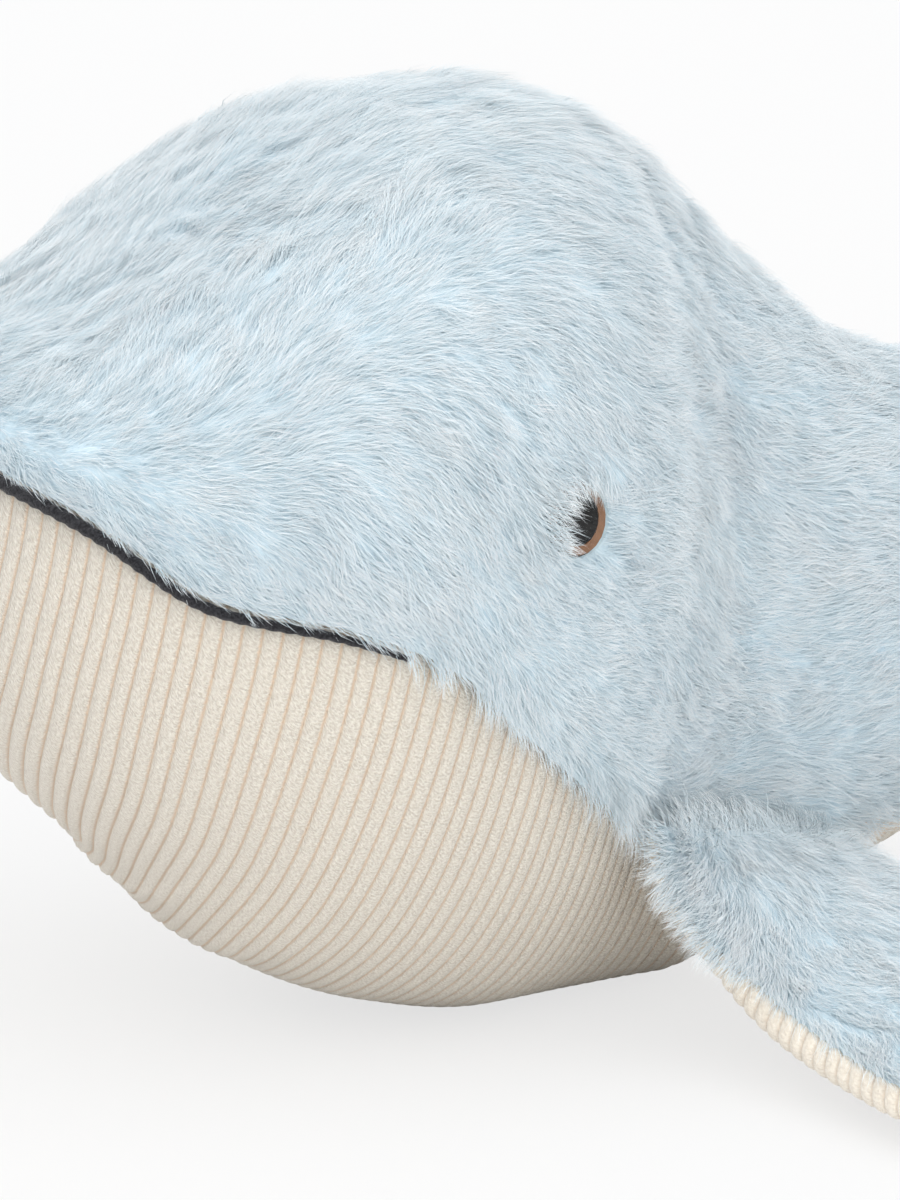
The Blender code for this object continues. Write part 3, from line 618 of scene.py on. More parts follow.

# %% [markdown]
# ## The fur's backing
#
# Under the pile lies knitted backing, in a left and a right panel that meet along the top of the back. Hardly any of
# it shows, and its blue is darker than the strands, as painted shade in the gaps between tufts. It lies a little under
# the surface that the strands stand on, rises to it at the side seam, and dips deeper round the eye, where the stem
# draws it in.

# %% Backing panels
EYE_PLACE, EYE_HEIGHT = 0.328 * BODY_LENGTH, 0.615 * BODY_HEIGHT - FLOOR_DROP
BACKING_DEPTH, EYE_DIP = 1.7 * MM, 1.5 * MM
TOP_SEAM_TURN = 0.0005  # half the gap that the top seam leaves
BACKING_COLUMNS = 90
widest, above = section(EYE_PLACE)[:2]
EYE_TURN = np.arccos(((EYE_HEIGHT - widest) / above) ** (UPPER_FULLNESS / 2)) / np.pi
eye_spots = {side: skin(np.array([EYE_PLACE]), np.array([side * EYE_TURN]))[0] for side in (-1, 1)}
backing_places = spread_places(240)
seam = seam_turn(backing_places)
last = seam - turn_per_metre(backing_places, seam) * 0.2 * MM
turns = TOP_SEAM_TURN + (last[:, None] - TOP_SEAM_TURN) * np.linspace(0, 1, BACKING_COLUMNS)[None, :]
place_grid = np.repeat(backing_places[:, None], BACKING_COLUMNS, axis=1)
to_seam = (last[:, None] - turns) / turn_per_metre(place_grid, turns)
even_depth = BACKING_DEPTH - BACKING_DEPTH * smooth_ramp(to_seam, 0, 6 * MM)
for word, side in (("left", -1), ("right", 1)):
    eye_gap = np.linalg.norm(skin(place_grid, side * turns) - eye_spots[side], axis=-1)
    depth = even_depth + EYE_DIP * (1 - smooth_ramp(eye_gap, 7.0 * MM, 11 * MM))
    backing = piece_from(
        grid_mesh("fur_backing_" + word, under_skin(place_grid, side * turns, depth), flip=side < 0),
        [fur_backing], "body", ["fur_back_" + word],
    )
print("fur backing: two panels")

# %% [markdown]
# ## Combing the pile
#
# Fur could be grown with Blender's hair, but the finished model has to be plain meshes. So each strand is a blade
# that tapers to a point, made in numpy for all the strands at once. Three things make it look like fur and not like
# grass: every strand leans over and lies almost flat, neighbours lean together towards the tip of one tuft, and the
# direction drifts slowly over the body, as if a hand had stroked it. Each strand is folded along its length like a
# tiny roof, so that from outside only its front faces show, and its shading follows the body, so the coat shades
# softly.

# %% Strand maker
STRAND_STEPS = np.array([0.0, 0.52, 1.0])
STRAND_WIDTHS = np.array([1.0, 0.8])
STRAND_WIDTH, STRAY = 0.10 * MM, 0.20
BIG_TUFT, SMALL_TUFT = 90, 14  # strands in a tuft


def drift(points, seed, wavelength):
    """A smooth wandering value, about -1 to 1, that is the same each time it is asked for a place."""
    own = np.random.default_rng(seed)
    total = np.zeros(points.shape[:-1])
    for _ in range(6):
        direction = unit(own.normal(size=3))
        waves = 2 * np.pi / wavelength * own.uniform(0.6, 1.6)
        total += np.sin(points @ direction * waves + own.uniform(0, 6.28))
    return total / 2.4


def nearest_lead(roots, tuft_size, own):
    """Groups strands into tufts: each strand's tuft, and the number of the strand that leads it."""
    leads = own.choice(len(roots), max(int(len(roots) / tuft_size), 1), replace=False)
    tree = kdtree.KDTree(len(leads))
    for i, k in enumerate(leads):
        tree.insert(roots[k], i)
    tree.balance()
    tuft = np.array([tree.find(point)[1] for point in roots])
    return tuft, leads[tuft]


def comb(roots, out, flow, length, lift, seed):
    """Strands that grow from these roots and lean along the flow: their points, their sideways and ridge directions,
    their widths, and the big and the small tuft that each belongs to."""
    own = np.random.default_rng(seed)
    count = len(roots)
    big, big_lead = nearest_lead(roots, BIG_TUFT, own)
    small, small_lead = nearest_lead(roots, SMALL_TUFT, own)
    sideways = np.cross(out, flow)
    swing = own.normal(0, STRAY, big.max() + 1)[big] + own.normal(0, STRAY * 0.7, small.max() + 1)[small]
    swing = swing + own.normal(0, STRAY * 1.1, count)
    heading = flow * np.cos(swing)[:, None] + sideways * np.sin(swing)[:, None]
    reach = length * (1 + own.normal(0, 0.08, big.max() + 1)[big]) * own.uniform(0.62, 1.08, count)
    rise = lift * (1 + own.normal(0, 0.12, big.max() + 1)[big] + own.normal(0, 0.10, small.max() + 1)[small])
    rise = rise * own.uniform(0.35, 1.15, count)
    curl = own.normal(0, 0.08, small.max() + 1)[small] + own.normal(0, 0.13, count)
    t = STRAND_STEPS[None, :, None]
    swell = np.sin(np.minimum(t * 1.15, 1.0) * np.pi / 2)
    points = roots[:, None, :] + heading[:, None, :] * (reach[:, None, None] * t)
    points = points + sideways[:, None, :] * (reach * curl)[:, None, None] * t**2
    points = points + out[:, None, :] * rise[:, None, None] * swell
    for lead, hold in ((big_lead, 0.18), (small_lead, 0.12)):
        gathered = points[lead] + (roots - roots[lead])[:, None, :] * 0.3
        points = points + (gathered - points) * (hold * own.uniform(0.3, 1.3, count))[:, None, None] * t**1.4
    run = unit(points[:, -1] - points[:, 0])
    across = unit(np.cross(run, out))
    upright = np.cross(across, run)
    roll = own.uniform(-0.3, 0.3, count)[:, None]
    blade = (across * np.cos(roll) + upright * np.sin(roll), upright * np.cos(roll) - across * np.sin(roll))
    return points, blade, STRAND_WIDTH * own.uniform(0.65, 1.25, count), big, small, own


def pile_mesh(name, points, blade, width, tint, out):
    """One mesh of all the strands, each a little roof of four faces that ends in a point."""
    count = len(points)
    widths = (width[:, None] * STRAND_WIDTHS[None, :] / 2)[..., None]
    vertices = np.empty((count, 7, 3))
    vertices[:, 0:6:3] = points[:, :2] - blade[0][:, None, :] * widths
    vertices[:, 1:6:3] = points[:, :2] + blade[1][:, None, :] * widths * 0.9
    vertices[:, 2:6:3] = points[:, :2] + blade[0][:, None, :] * widths
    vertices[:, 6] = points[:, 2]
    base = (np.arange(count) * 7)[:, None]
    loops = base + np.array([0, 1, 4, 3, 2, 5, 4, 1, 3, 4, 6, 5, 6, 4])[None, :]
    starts = (np.arange(count) * 14)[:, None] + np.array([0, 4, 8, 11])[None, :]
    mesh = mesh_from(name, vertices.reshape(-1, 3), loops.ravel(), starts.ravel())
    mesh.polygons.foreach_set("material_index", tint.astype(np.int32).ravel())
    mesh.update()
    shade = unit(np.repeat(out, 7, axis=0) + 0.07 * np.repeat(dice.normal(size=(count, 3)), 7, axis=0))
    mesh.normals_split_custom_set_from_vertices(shade)
    return mesh


def tint_strands(big, small, mood, own):
    """Material numbers for the four faces of each strand: two along its lower part, two at its tip."""
    count = len(big)
    level = own.normal(0, 0.45, big.max() + 1)[big] + own.normal(0, 0.5, small.max() + 1)[small]
    level = level + own.normal(0, 0.8, count) + mood
    tip = np.select([level < -1.5, level < -0.4, level < 0.9], [5, 2, 3], 4)
    # Painted shade: the lower faces take the darker root and shade tints, the tips the paler ones.
    lower = np.select([level < -0.9, level < 0.5], [0, 1], 2)
    return np.stack([lower, lower, tip, tip], axis=1)


def mirrored(points):
    return points * np.array([1, -1, 1])


def grow(name, body, points, out, flow, length, lift, mood, seed, mirror=False):
    """A piece of pile, rooted just under these points of the skin."""
    strands, blade, width, big, small, own = comb(points - out * 0.4 * MM, out, flow, length, lift, seed)
    tint = tint_strands(big, small, mood, own)
    if mirror:
        strands, out = mirrored(strands), mirrored(out)
        blade = (-mirrored(blade[0]), mirrored(blade[1]))
    return piece_from(pile_mesh(name, strands, blade, width, tint, out), pile_materials, body)


# %% [markdown]
# The roots are scattered evenly over the skin. A grid of small cells covers the panel, each cell is drawn as often as
# its area asks for, and the root falls at random inside it. The flow runs towards the tail. On the head it fans up,
# over and down again in slow waves, and along the top seam it lies straight. Beside the mouth the pile lies along the
# cord, so that the black line stays clear, and behind the corner of the mouth it hangs in tufts over the corduroy.
# Above the fin and at the end of the tail it is longer, and covers the joint. Round the eye the strands above it and
# on the snout's side are lifted, so that they fall across the dome like lashes.

# %% Body flow
PILE_LENGTH, PILE_LIFT = 10.0 * MM, 2.8 * MM
DENSITY = 4.6e6  # strands to a square metre
CORNER = 0.232 * BODY_LENGTH  # where the mouth ends
EYE_CLEAR, SEAM_CLEAR = 6.9 * MM, 0.5 * MM  # no strand is rooted nearer than this


def scatter(corner_grid, count, own):
    """Cells of a grid, drawn by area, and a place inside each."""
    one = corner_grid[1:, :-1] - corner_grid[:-1, :-1]
    two = corner_grid[:-1, 1:] - corner_grid[:-1, :-1]
    area = np.linalg.norm(np.cross(one, two), axis=-1)
    total = np.cumsum(area.ravel())
    drawn = np.searchsorted(total, own.uniform(0, total[-1], count))
    drawn = np.minimum(drawn, area.size - 1)
    row, column = np.unravel_index(drawn, area.shape)
    return row + own.uniform(size=count), column + own.uniform(size=count)


def grid_area(grid):
    one, two = grid[1:, :-1] - grid[:-1, :-1], grid[:-1, 1:] - grid[:-1, :-1]
    return np.linalg.norm(np.cross(one, two), axis=-1).sum()


def body_flow(place, side, to_seam, share, points, along, down):
    """The direction that the pile is combed in. to_seam is each root's distance from the seam."""
    ahead = skin(place + 0.5 * MM, side * seam_turn(place + 0.5 * MM)) - skin(place, side * seam_turn(place))
    seam_fall = np.arctan2(np.sum(ahead * down, axis=-1), np.sum(ahead * along, axis=-1))
    seam_fall = np.clip(seam_fall, -0.3, 1.0)
    head = 1 - smooth_ramp(place, 0.09, 0.15)
    cheek = np.exp(-(((place - 0.065) / 0.04) ** 2)) * smooth_ramp(share, 0.40, 0.85)
    angle = 0.06 + 0.62 * cheek - 0.14 * (1 - head) * (1 - share)
    brow = np.exp(-(((share - 0.45) / 0.3) ** 2))
    angle = angle - 0.55 * brow * np.exp(-(((place - 0.02) / 0.03) ** 2))
    angle = angle + 0.50 * brow * np.exp(-(((place - 0.100) / 0.022) ** 2))
    angle = angle + head * (1 - 0.6 * cheek) * 0.40 * drift(points, 3, 95 * MM)
    angle = angle + 0.26 * drift(points, 4, 42 * MM) + 0.12 * drift(points, 14, 16 * MM)
    angle = angle * smooth_ramp(share, 0.0, 0.12)
    mouth = 1 - smooth_ramp(place, CORNER - 4 * MM, CORNER + 4 * MM)
    edge_angle = mouth * (seam_fall + 0.10) + (1 - mouth) * (seam_fall + 0.75 * (1 - smooth_ramp(place, 0.15, 0.2)))
    by_fin = smooth_ramp(place, 0.106, 0.120) * (1 - smooth_ramp(place, 0.166, 0.180))
    edge_angle = edge_angle + by_fin * (seam_fall + 1.15 - edge_angle)
    near = 1 - smooth_ramp(to_seam, 1.5 * MM, 13 * MM)
    angle = angle + (edge_angle - angle) * near * 0.85
    return along * np.cos(angle)[:, None] + down * np.sin(angle)[:, None], near * mouth, near * by_fin


# %% Body pile
def body_pile(name, side, low, high, seed):
    """The pile of one flank from one place along the body to another."""
    own = np.random.default_rng(seed)
    places = spread_places(500)
    places = places[(places >= low) & (places <= high)]
    shares = np.linspace(0, 1, 160)
    last = seam_turn(places)
    turns = 0.001 + (last[:, None] - 0.001) * shares[None, :]
    grid = skin(np.repeat(places[:, None], len(shares), axis=1), side * turns)
    count = int(grid_area(grid) * DENSITY)
    row, column = scatter(grid, count, own)
    place = np.interp(row, np.arange(len(places)), places)
    share = column / (len(shares) - 1)
    turn = (0.001 + (seam_turn(place) - 0.001) * share) * side
    points, out, along, down = skin_frame(place, turn)
    to_seam = (seam_turn(place) - np.abs(turn)) / turn_per_metre(place, np.abs(turn))
    from_eye = points - eye_spots[side]
    kept = (np.linalg.norm(from_eye, axis=1) > EYE_CLEAR) & (to_seam > SEAM_CLEAR)
    place, turn, share, points, out, along, down, to_seam, from_eye = [
        v[kept] for v in (place, turn, share, points, out, along, down, to_seam, from_eye)
    ]
    flow, by_mouth, by_fin = body_flow(place, side, to_seam, share, points, along, down)
    eye_gap = np.linalg.norm(from_eye, axis=1)
    near_eye = 1 - smooth_ramp(eye_gap, 10 * MM, 16 * MM)
    lashes = smooth_ramp(-np.sum(from_eye * flow, axis=1) / eye_gap, -0.1, 0.7)
    above_eye = smooth_ramp(-np.sum(from_eye * unit(along * 0.35 + down), axis=1) / eye_gap, 0.1, 0.8)
    bend = (near_eye * np.maximum(above_eye * 0.95, lashes * 0.35))[:, None]
    flow = unit(flow * (1 - bend) - from_eye / eye_gap[:, None] * bend)
    lashes = np.maximum(lashes, above_eye)
    length = PILE_LENGTH * (0.92 + 0.12 * drift(points, 5, 50 * MM)) * (1 - 0.45 * by_mouth)
    lift = PILE_LIFT * (1 + 0.22 * drift(points, 15, 24 * MM) + 0.12 * drift(points, 16, 11 * MM))
    at_tail = smooth_ramp(place, BODY_LENGTH - 22 * MM, BODY_LENGTH - 8 * MM)
    length = length * (1 + 0.4 * by_fin + 0.4 * at_tail)
    lift = lift * (1 - 0.35 * by_mouth) * (1 + 1.2 * by_fin + 0.6 * at_tail)
    lash_room = np.maximum(eye_gap - (1.6 + 0.9 * above_eye) * MM, 2 * MM)
    length = np.where(lashes > 0.05, np.minimum(length, lash_room), length)
    length = length * (1 - 0.35 * near_eye * (1 - lashes))
    lift = lift * (1 + 0.9 * near_eye * lashes)
    mood = 0.40 * drift(points, 6, 26 * MM) + 0.25 * drift(points, 17, 9 * MM) + 0.1
    return grow(name, "body", points, out, flow, length, lift, mood, seed + 50)


for word, side in (("left", -1), ("right", 1)):
    for part, low, high in (
        ("snout", 0.0, 0.042), ("head", 0.042, 0.083), ("crown", 0.083, 0.13),
        ("waist", 0.13, 0.172), ("back", 0.172, 0.235), ("tail", 0.235, 1.0),
    ):
        pile = body_pile(f"pile_{part}_{word}", side, low, high, 100 + 7 * side + int(low * 1000))
        print(pile.name, len(pile.data.polygons), "faces")

# %% [markdown]
# ## The mouth
#
# A soft black cord is sewn into the seam from one corner of the mouth round the snout to the other. It is twisted
# from two plies, so its cross-section is two lobes that turn along its length. It thins to a third at the corners,
# where it goes into the seam.

# %% Mouth cord
CORD_RADIUS, CORD_DROP, TWIST = 1.3 * MM, 1.2 * MM, 2.8 * MM
share = np.linspace(0.004, 1, 340)
place = CORNER * (1 - np.cos(share * np.pi / 2))
turn = seam_turn(place)
turn = turn + turn_per_metre(place, turn) * CORD_DROP
half = [under_skin(place, side * turn, np.full(len(place), 0.1 * MM)) for side in (-1, 1)]
route = np.concatenate([half[0][::-1], half[1]])
normals = np.concatenate([skin_frame(place, -turn)[1][::-1], skin_frame(place, turn)[1]])
from_end = np.minimum((1 - np.concatenate([share[::-1], share])) / 0.8, 1)
radius = CORD_RADIUS * (0.35 + 0.65 * np.sqrt(from_end))
run = unit(np.gradient(route, axis=0))
over = unit(np.cross(run, normals))
travel = np.concatenate([[0], np.cumsum(np.linalg.norm(np.diff(route, axis=0), axis=1))])
around = np.linspace(0, 2 * np.pi, 17)[:-1]
lobes = 1 + 0.10 * np.cos(2 * (around[None, :] - travel[:, None] / TWIST * np.pi))
ring = over[:, None, :] * np.cos(around)[None, :, None] + normals[:, None, :] * np.sin(around)[None, :, None]
cord_grid = route[:, None, :] + ring * (lobes * radius[:, None])[..., None]
cord_grid = np.concatenate([cord_grid, cord_grid[:, :1]], axis=1)
mouth = piece_from(grid_mesh("mouth_cord_twist", cord_grid), [cord_fibre], "body", ["mouth_cord"])
print("mouth cord:", round(travel[-1] / MM), "mm long")

# %% [markdown]
# ## Eyes
#
# A safety eye is a moulded black stem with a wide head, a painted ring, and a clear dome over both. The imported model
# already has the right pieces, so they only get materials. The dome lets light straight through to the ring and
# mirrors a little of the studio. One that bends the light would be truer, but then no lamp could reach the ring.

# %% Eye materials
def plastic(name, colour, roughness):
    material = bpy.data.materials.new(name)
    material.use_nodes = True
    tree = material.node_tree
    shader = tree.nodes["Principled BSDF"]
    shader.inputs["IOR"].default_value = 1.49
    shader.inputs["Roughness"].default_value = roughness
    group = add_node(tree, "ShaderNodeGroup", node_tree=fibre)
    group.inputs["Scale"].default_value = 900
    darker = tuple(value * 0.85 for value in colour[:3]) + (1.0,)
    tree.links.new(blend_colours(tree, group.outputs["Tone"], darker, colour), shader.inputs["Base Color"])
    return material


def dress(node, material):
    """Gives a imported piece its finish."""
    for slot in bpy.data.objects[node].material_slots:
        slot.material = material


clear_plastic = bpy.data.materials.new("clear_dome")
clear_plastic.use_nodes = True
tree = clear_plastic.node_tree
tree.nodes.clear()
through = add_node(tree, "ShaderNodeBsdfTransparent", {"Color": (0.97, 0.97, 0.96, 1)})
gloss = add_node(tree, "ShaderNodeBsdfGlossy", {"Roughness": 0.04})
shine = add_node(tree, "ShaderNodeFresnel", {"IOR": 1.33})
outside = add_node(tree, "ShaderNodeNewGeometry")
front_only = maths(tree, "SUBTRACT", 1.0, outside.outputs["Backfacing"])
mirrored_share = maths(tree, "MINIMUM", shine.outputs[0], 0.02)
both = mix_shaders(tree, maths(tree, "MULTIPLY", mirrored_share, front_only), through.outputs[0], gloss.outputs[0])
add_node(tree, "ShaderNodeOutputMaterial", {"Surface": both})
brown_paint = plastic("brown_ring", (0.25, 0.12, 0.06, 1), 0.35)
black_plastic = plastic("black_stem", (0.006, 0.006, 0.007, 1), 0.12)
black_plastic.node_tree.nodes["Principled BSDF"].inputs["Specular IOR Level"].default_value = 0.15
white_plastic = plastic("white_washer", (0.80, 0.80, 0.78, 1), 0.5)
for word in ("left", "right"):
    dress("eye_dome_" + word, clear_plastic)
    dress("eye_iris_" + word, brown_paint)
    dress("eye_stem_" + word, black_plastic)
    dress("eye_washer_" + word, white_plastic)
    dress("fin_stuffing_" + word, filling)
dress("body_stuffing", filling)
dress("fluke_stuffing", filling)
print("eyes and filling are dressed")

# %% [markdown]
# ## Fins and flukes
#
# Each fin is a flat pillow: a fur panel above, a corduroy panel below, sewn together round the rim. Its middle
# surface is stretched between a leading and a trailing edge, and both panels swell away from it. The wales of the
# lower panel run from edge to edge, so each one ends at the rim in a small scallop. The flukes are made the same way.

# %% Fin surface
SKIN, GAP = 2.5 * MM, 0.3 * MM
FIN_SPAN, FIN_PUFF, FIN_ROUND = 0.088, 5.8 * MM, 0.7
fin_edges = np.array([
    (0.00, 0.000, 0.000, 0.000, 1.000, 0.000, 0.000),
    (0.10, 0.042, 0.040, -0.109, 1.026, 0.065, -0.014),
    (0.27, 0.152, 0.174, -0.265, 1.080, 0.212, -0.057),
    (0.44, 0.112, 0.352, -0.356, 1.060, 0.370, -0.125),
    (0.64, 0.030, 0.572, -0.412, 0.900, 0.580, -0.210),
    (0.81, -0.070, 0.765, -0.440, 0.673, 0.759, -0.285),
    (1.00, -0.150, 0.985, -0.456, 0.336, 0.982, -0.367),
])
fin_curves = [smooth_curve(fin_edges[:, 0], fin_edges[:, k]) for k in range(1, 7)]
FIN_FRONT = np.array([0.1249853 - MIDDLE, -0.0625887, 0.0449436])
FIN_ALONG = np.array([0.8740224, 0.4028926, -0.2715921])
FIN_OUT = np.array([0.4186278, -0.9081579, 0.0])
FIN_UP = np.array([0.2466486, 0.1136960, 0.9624124])
FIN_ROOT = 0.0547664


def fin_middle(chord, step):
    """Points of the left fin's middle surface. chord runs from the leading edge back, step from the root out."""
    chord, step = np.broadcast_arrays(np.asarray(chord, float), np.asarray(step, float))
    lead = [curve(step) for curve in fin_curves[:3]]
    trail = [curve(step) for curve in fin_curves[3:]]
    narrow = np.sqrt(np.maximum(1 - (np.maximum(step - FIN_ROUND, 0) / (1 - FIN_ROUND)) ** 2, 0))
    across = 0.5 + (chord - 0.5) * narrow
    root, outward, up = [a + (b - a) * across for a, b in zip(lead, trail)]
    spread = root[..., None] * FIN_ROOT * FIN_ALONG
    return FIN_FRONT + spread + (outward[..., None] * FIN_OUT + up[..., None] * FIN_UP) * FIN_SPAN


def rounded(distance, radius):
    inside = np.clip(distance / radius, 0, 1)
    return np.sqrt(1 - (1 - inside) ** 2)


def fin_frame(chord, step, side):
    """Points on the fin's upper (side 1) or lower (side -1) skin, with directions out, back and towards the tip."""
    def surface(c, s):
        c, s = np.clip(c, 0, 1), np.clip(s, 0, 1)
        cc, ss = np.clip(c, 0.004, 0.996), np.clip(s, 0.004, 0.996)
        span = fin_middle(cc, ss + 0.003) - fin_middle(cc, ss - 0.003)
        over = fin_middle(cc + 0.003, ss) - fin_middle(cc - 0.003, ss)
        normal = unit(np.cross(span, over))
        edge = rounded(np.minimum(c, 1 - c) * FIN_ROOT, SKIN) * rounded((1 - s) * FIN_SPAN, SKIN)
        puff = np.sin(np.pi * c) ** 0.85 * np.sin(np.pi * np.clip(s, 1e-6, 1) ** 0.78) ** 0.85
        return fin_middle(c, s) + normal * side * (GAP / 2 + SKIN * edge + puff * FIN_PUFF)[..., None]
    chord, step = np.broadcast_arrays(np.asarray(chord, float), np.asarray(step, float))
    back = unit(surface(chord + 0.004, step) - surface(chord - 0.004, step))
    tip = unit(surface(chord, step + 0.004) - surface(chord, step - 0.004))
    out = unit(np.cross(tip, back)) * side
    return surface(chord, step), out, back, tip


# %% Fluke surface
FLUKE_HALF_SPAN, FLUKE_LENGTH, FLUKE_PUFF = 0.078, 0.062, 6.2 * MM
FLUKE_RISE = math.atan(0.21)
FLUKE_HINGE = np.array([0.125752, 0.0, 0.113456])
FLUKE_BACK = np.array([math.cos(FLUKE_RISE), 0, math.sin(FLUKE_RISE)])
FLUKE_UP = np.array([-math.sin(FLUKE_RISE), 0, math.cos(FLUKE_RISE)])
fluke_edges = np.array([
    (0.00, 0.00, 0.60), (0.16, 0.00, 0.70), (0.24, 0.03, 0.78), (0.40, 0.15, 0.90),
    (0.60, 0.34, 0.98), (0.80, 0.57, 1.00), (0.93, 0.75, 0.99), (1.00, 0.87, 0.96),
])
fluke_curves = [smooth_curve(fluke_edges[:, 0], fluke_edges[:, k]) for k in (1, 2)]


def fluke_frame(step, half, side):
    """Points on the flukes' skin. step runs from the leading edge back, half from the left tip (-1) to the right."""
    def surface(s, h):
        s, h = np.clip(s, 0, 1), np.clip(h, -1, 1)
        lead, trail = [curve(np.abs(h)) * FLUKE_LENGTH for curve in fluke_curves]
        middle = FLUKE_HINGE + FLUKE_BACK * (lead + (trail - lead) * s)[..., None]
        middle = middle + np.array([0, 1, 0]) * (h * FLUKE_HALF_SPAN)[..., None]
        edge = rounded(np.minimum(s, 1 - s) * (trail - lead), SKIN) * rounded((1 - np.abs(h)) * FLUKE_HALF_SPAN, SKIN)
        puff = np.maximum(np.sin(np.pi * np.clip(s, 1e-6, 1) ** 0.78), 0) ** 0.85
        puff = puff * np.cos(h * np.pi / 2 * 0.999) ** 0.6
        return middle + FLUKE_UP * side * (GAP / 2 + SKIN * edge + puff * FLUKE_PUFF)[..., None]
    step, half = np.broadcast_arrays(np.asarray(step, float), np.asarray(half, float))
    back = unit(surface(step + 0.004, half) - surface(step - 0.004, half))
    over = unit(surface(step, half + 0.004) - surface(step, half - 0.004))
    out = unit(np.cross(back, over)) * side
    return surface(step, half), out, back, over


# %% [markdown]
# The lower panels are cut from the same corduroy. They wrap round the rim and a few millimetres up the other side,
# where the fur is sewn on, so the rim shows the wales end on, as a row of round beads. The rows of the mesh again
# follow the wales, and the points crowd towards the rim.

# %% Lower panels
LIMB_PITCH = 3.5 * MM
LIMB_COLUMNS = 50
LIMB_WRAP = 0.06  # how far over the rim the corduroy comes, as a share of the limb's width

def ease(count):
    """Shares from 0 to 1 that crowd towards both ends."""
    return 0.5 - 0.5 * np.cos(np.linspace(0, np.pi, count))


def wrapped(frame_of, step, wrap, count):
    """Points and normals of a lower panel: across the underside, and over both rims by the share wrap, which may
    differ from row to row."""
    share = np.linspace(1, 0, 9)[:-1]
    over = share[None, :] * np.broadcast_to(wrap, step.shape)[:, None]
    lower = frame_of(ease(count)[None, :], step[:, None], -1)[:2]
    front = frame_of(over, step[:, None], 1)[:2]
    rear = frame_of(1 - over[:, ::-1], step[:, None], 1)[:2]
    points, out = [np.concatenate([a, b, c], axis=1) for a, b, c in zip(front, lower, rear)]
    tuck = np.concatenate([share, np.zeros(count), share[::-1]])
    beads = np.concatenate([np.ones(8), 1 - 0.4 * np.sin(np.pi * ease(count)) ** 0.5, np.ones(8)])
    return points, out, np.maximum(tuck - 0.45, 0) * 3.2 * MM, beads


def wale_rows(points, out, numbers, tuck, beads):
    """Raises the wales on a panel, and lays out its cloth."""
    grid = np.repeat(numbers[:, None], points.shape[1], axis=1)
    raised = points + out * ((wale_shape(grid) - 0.75) * beads * 0.8 * MM - tuck)[..., None]
    travel = np.linalg.norm(np.diff(points, axis=1), axis=-1).mean(axis=0)
    travel = np.concatenate([[0], np.cumsum(travel)]) / LIMB_PITCH
    return raised, np.stack([grid, np.repeat(travel[None, :], len(numbers), axis=0)], -1)


def backed(points, out):
    """The fur's backing on a limb: just above the skin, and drawn in towards both rims."""
    drawn_in = 1 - np.sin(np.pi * ease(LIMB_COLUMNS)) ** 0.3
    return points + out * (0.2 * MM - 1.4 * MM * drawn_in)[None, :, None]


fin_count = int(FIN_SPAN * 1.2 / LIMB_PITCH) * WALE_ROWS + 1
fin_numbers = np.arange(fin_count) / WALE_ROWS
fin_steps = np.linspace(0, 1, fin_count)
fin_wrap = LIMB_WRAP * (0.02 + 0.98 * smooth_ramp(fin_steps, 0.16, 0.40))
points, out, tuck, beads = wrapped(fin_frame, fin_steps, fin_wrap, 56)
fin_lower, fin_layout = wale_rows(points, out, fin_numbers, tuck, beads)
upper_steps = np.linspace(0, 1, 60)[:, None]
upper_start = 0.03 * smooth_ramp(upper_steps, 0.16, 0.40)
points, out = fin_frame(upper_start + (1 - 2 * upper_start) * ease(LIMB_COLUMNS)[None, :], upper_steps, 1)[:2]
fin_upper = backed(points, out)
for word, side in (("left", -1), ("right", 1)):
    grids = (fin_lower, fin_upper) if side < 0 else (mirrored(fin_lower), mirrored(fin_upper))
    lower = piece_from(
        grid_mesh("fin_lower_panel_" + word, grids[0], fin_layout, flip=side > 0),
        [limb_corduroy], word + "_fin", ["fin_underside_" + word],
    )
    upper = piece_from(
        grid_mesh("fin_backing_" + word, grids[1], flip=side < 0),
        [fur_backing], word + "_fin", ["fin_fur_" + word],
    )

half_rows = int(FLUKE_HALF_SPAN / LIMB_PITCH) * WALE_ROWS
fluke_numbers = np.arange(-half_rows, half_rows + 1) / WALE_ROWS
fluke_halves = fluke_numbers / fluke_numbers[-1]
points, out, tuck, beads = wrapped(fluke_frame, fluke_halves, LIMB_WRAP, 50)
fluke_lower, fluke_layout = wale_rows(points, out, fluke_numbers, tuck, beads)
lower = piece_from(
    grid_mesh("fluke_lower_panel", fluke_lower, fluke_layout),
    [limb_corduroy], "flukes", ["fluke_underside"],
)
points, out = fluke_frame((0.03 + 0.94 * ease(LIMB_COLUMNS))[None, :], np.linspace(-1, 1, 120)[:, None], 1)[:2]
upper = piece_from(
    grid_mesh("fluke_backing", backed(points, out), flip=True),
    [fur_backing], "flukes", ["fluke_fur"],
)
print("fin and fluke panels are in place")

# %% [markdown]
# The pile on a fin is combed outward, towards the tip, and a little back. It hangs over the rim by a few
# millimetres. Among the strands at the fin's root, some grow back towards the body, and among those at the front of
# the flukes some point forward, so that no joint and no rim shows bare. The right fin's pile is the mirror image of
# the left one's, like the panel it grows on.

# %% Fin and fluke pile
LIMB_STEPS = np.arange(80)


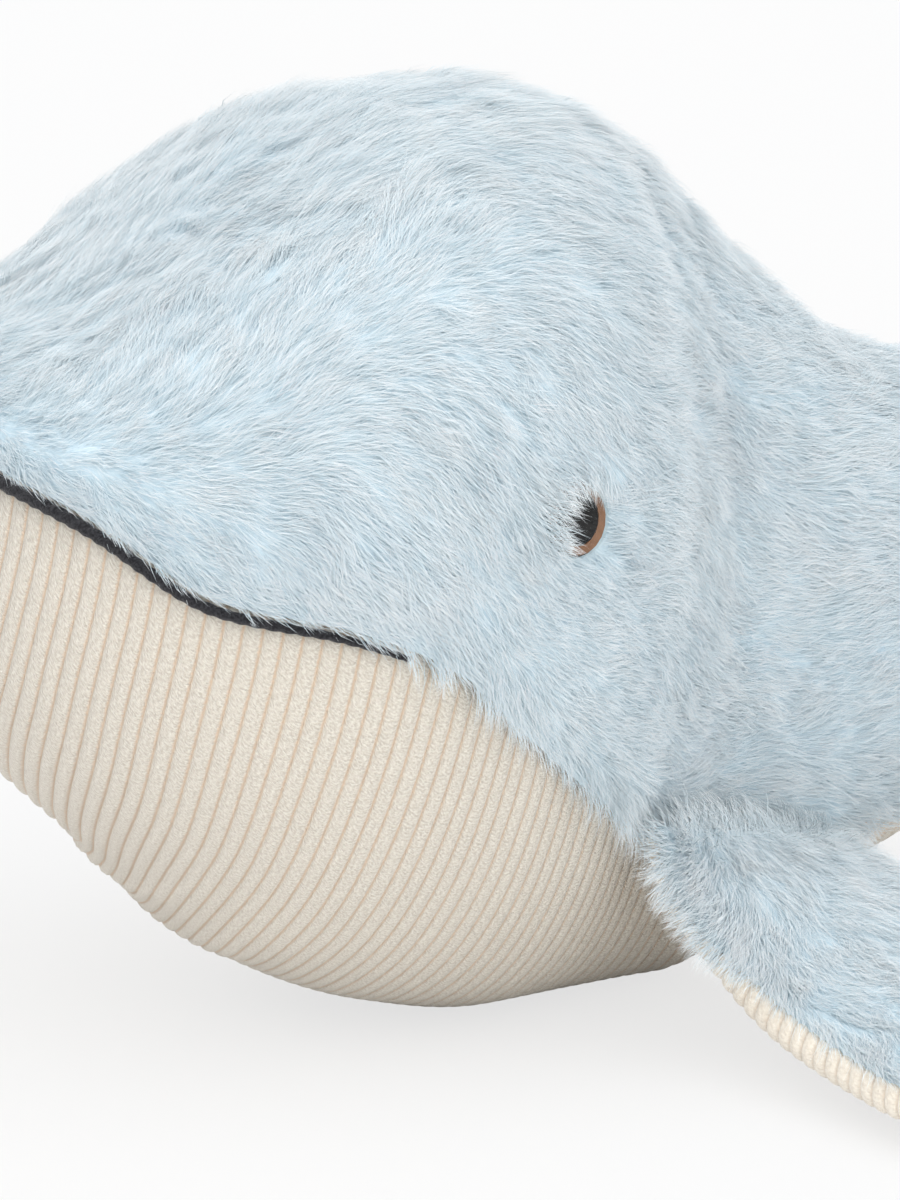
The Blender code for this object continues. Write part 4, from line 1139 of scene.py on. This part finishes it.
def limb_pile(name, body, frame_of, low, high, heading, seed, rim=0.0, mirror=False):
    """Pile over one limb. low and high bound its two surface numbers, and heading is the angle of the comb. rim is
    the width of a fin's bare leading rim, and 0 for the flukes."""
    own = np.random.default_rng(seed)
    on_fin = rim > 0
    first, second = [np.linspace(low[k], high[k], len(LIMB_STEPS)) for k in (0, 1)]
    grid = frame_of(first[None, :], second[:, None])[0]
    count = int(grid_area(grid) * DENSITY)

    def scattered():
        row, column = scatter(grid, count, own)
        return np.interp(column, LIMB_STEPS, first), np.interp(row, LIMB_STEPS, second)

    a, b = scattered()
    if on_fin:
        more_a, more_b = scattered()
        thick = ((more_a < 0.16) & (more_b < 0.42)) | (more_b < 0.10)
        a, b = np.concatenate([a, more_a[thick]]), np.concatenate([b, more_b[thick]])
    kept = a > rim * smooth_ramp(b, 0.20, 0.42)
    a, b = a[kept], b[kept]
    points, out, back, tip = frame_of(a, b)
    angle = heading(a, b, points)
    flow = tip * np.cos(angle)[:, None] + back * np.sin(angle)[:, None]
    root = (1 - smooth_ramp(b, 0.0, 0.3)) * on_fin
    inward = (own.uniform(size=len(a)) < 0.6) & (b < 0.10 * own.uniform(size=len(a))) & on_fin
    flow = np.where(inward[:, None], -tip - back * (0.9 - 1.1 * a)[:, None], flow)
    over_joint = (own.uniform(size=len(a)) < 0.6) & (np.abs(b) < 0.17) & (a < 0.28) & (not on_fin)
    flow = np.where(over_joint[:, None], -back - tip * 0.3 * np.sign(b)[:, None], flow)
    over_rim = (own.uniform(size=len(a)) < 0.5) & (a < 0.10) & (not on_fin)
    flow = np.where(over_rim[:, None], -back * 0.5 + tip * np.sign(b)[:, None], flow)
    flow = unit(flow - out * np.sum(flow * out, axis=1, keepdims=True))
    length = PILE_LENGTH * (0.95 + 0.12 * drift(points, seed, 40 * MM)) * (1 - 0.45 * over_rim)
    length = length * (1 - 0.35 * (a < 0.10) * (1 - smooth_ramp(b, 0.22, 0.45)) * on_fin)
    lift = PILE_LIFT * (1 + 0.2 * drift(points, seed + 3, 20 * MM)) * (1 + 0.4 * root)
    lift = lift * (1 + 0.4 * inward + 0.5 * over_joint)
    # Painted light: the pile on fins and flukes takes paler tints than the body's, to lighten the fins where the body
    # shades them.
    mood = 0.4 * drift(points, seed + 2, 20 * MM) + 1.0
    return grow(name, body, points, out, flow, length, lift, mood, seed + 1, mirror)


def fin_heading(chord, step, points):
    front_root = np.exp(-((chord / 0.28) ** 2)) * (1 - smooth_ramp(step, 0.22, 0.5))
    front_rim = np.exp(-((chord / 0.12) ** 2))
    return 0.12 + 0.2 * chord - 1.35 * front_root - 0.25 * front_rim + 0.3 * drift(points, 8, 34 * MM)


def fluke_heading(step, half, points):
    return np.pi / 2 - 0.6 * np.sign(half) * np.minimum(np.abs(half) * 2, 1) + 0.2 * drift(points, 9, 30 * MM)


for word in ("left", "right"):
    pile = limb_pile(
        "pile_fin_" + word, word + "_fin", lambda a, b: fin_frame(a, b, 1), (0.0, 0.0), (0.965, 0.975),
        fin_heading, 300, rim=0.045, mirror=word == "right",
    )
    print(pile.name, len(pile.data.polygons), "faces")
pile = limb_pile(
    "pile_flukes", "flukes", lambda a, b: fluke_frame(a, b, 1), (0.045, -0.985), (0.965, 0.985),
    fluke_heading, 400,
)
print(pile.name, len(pile.data.polygons), "faces")
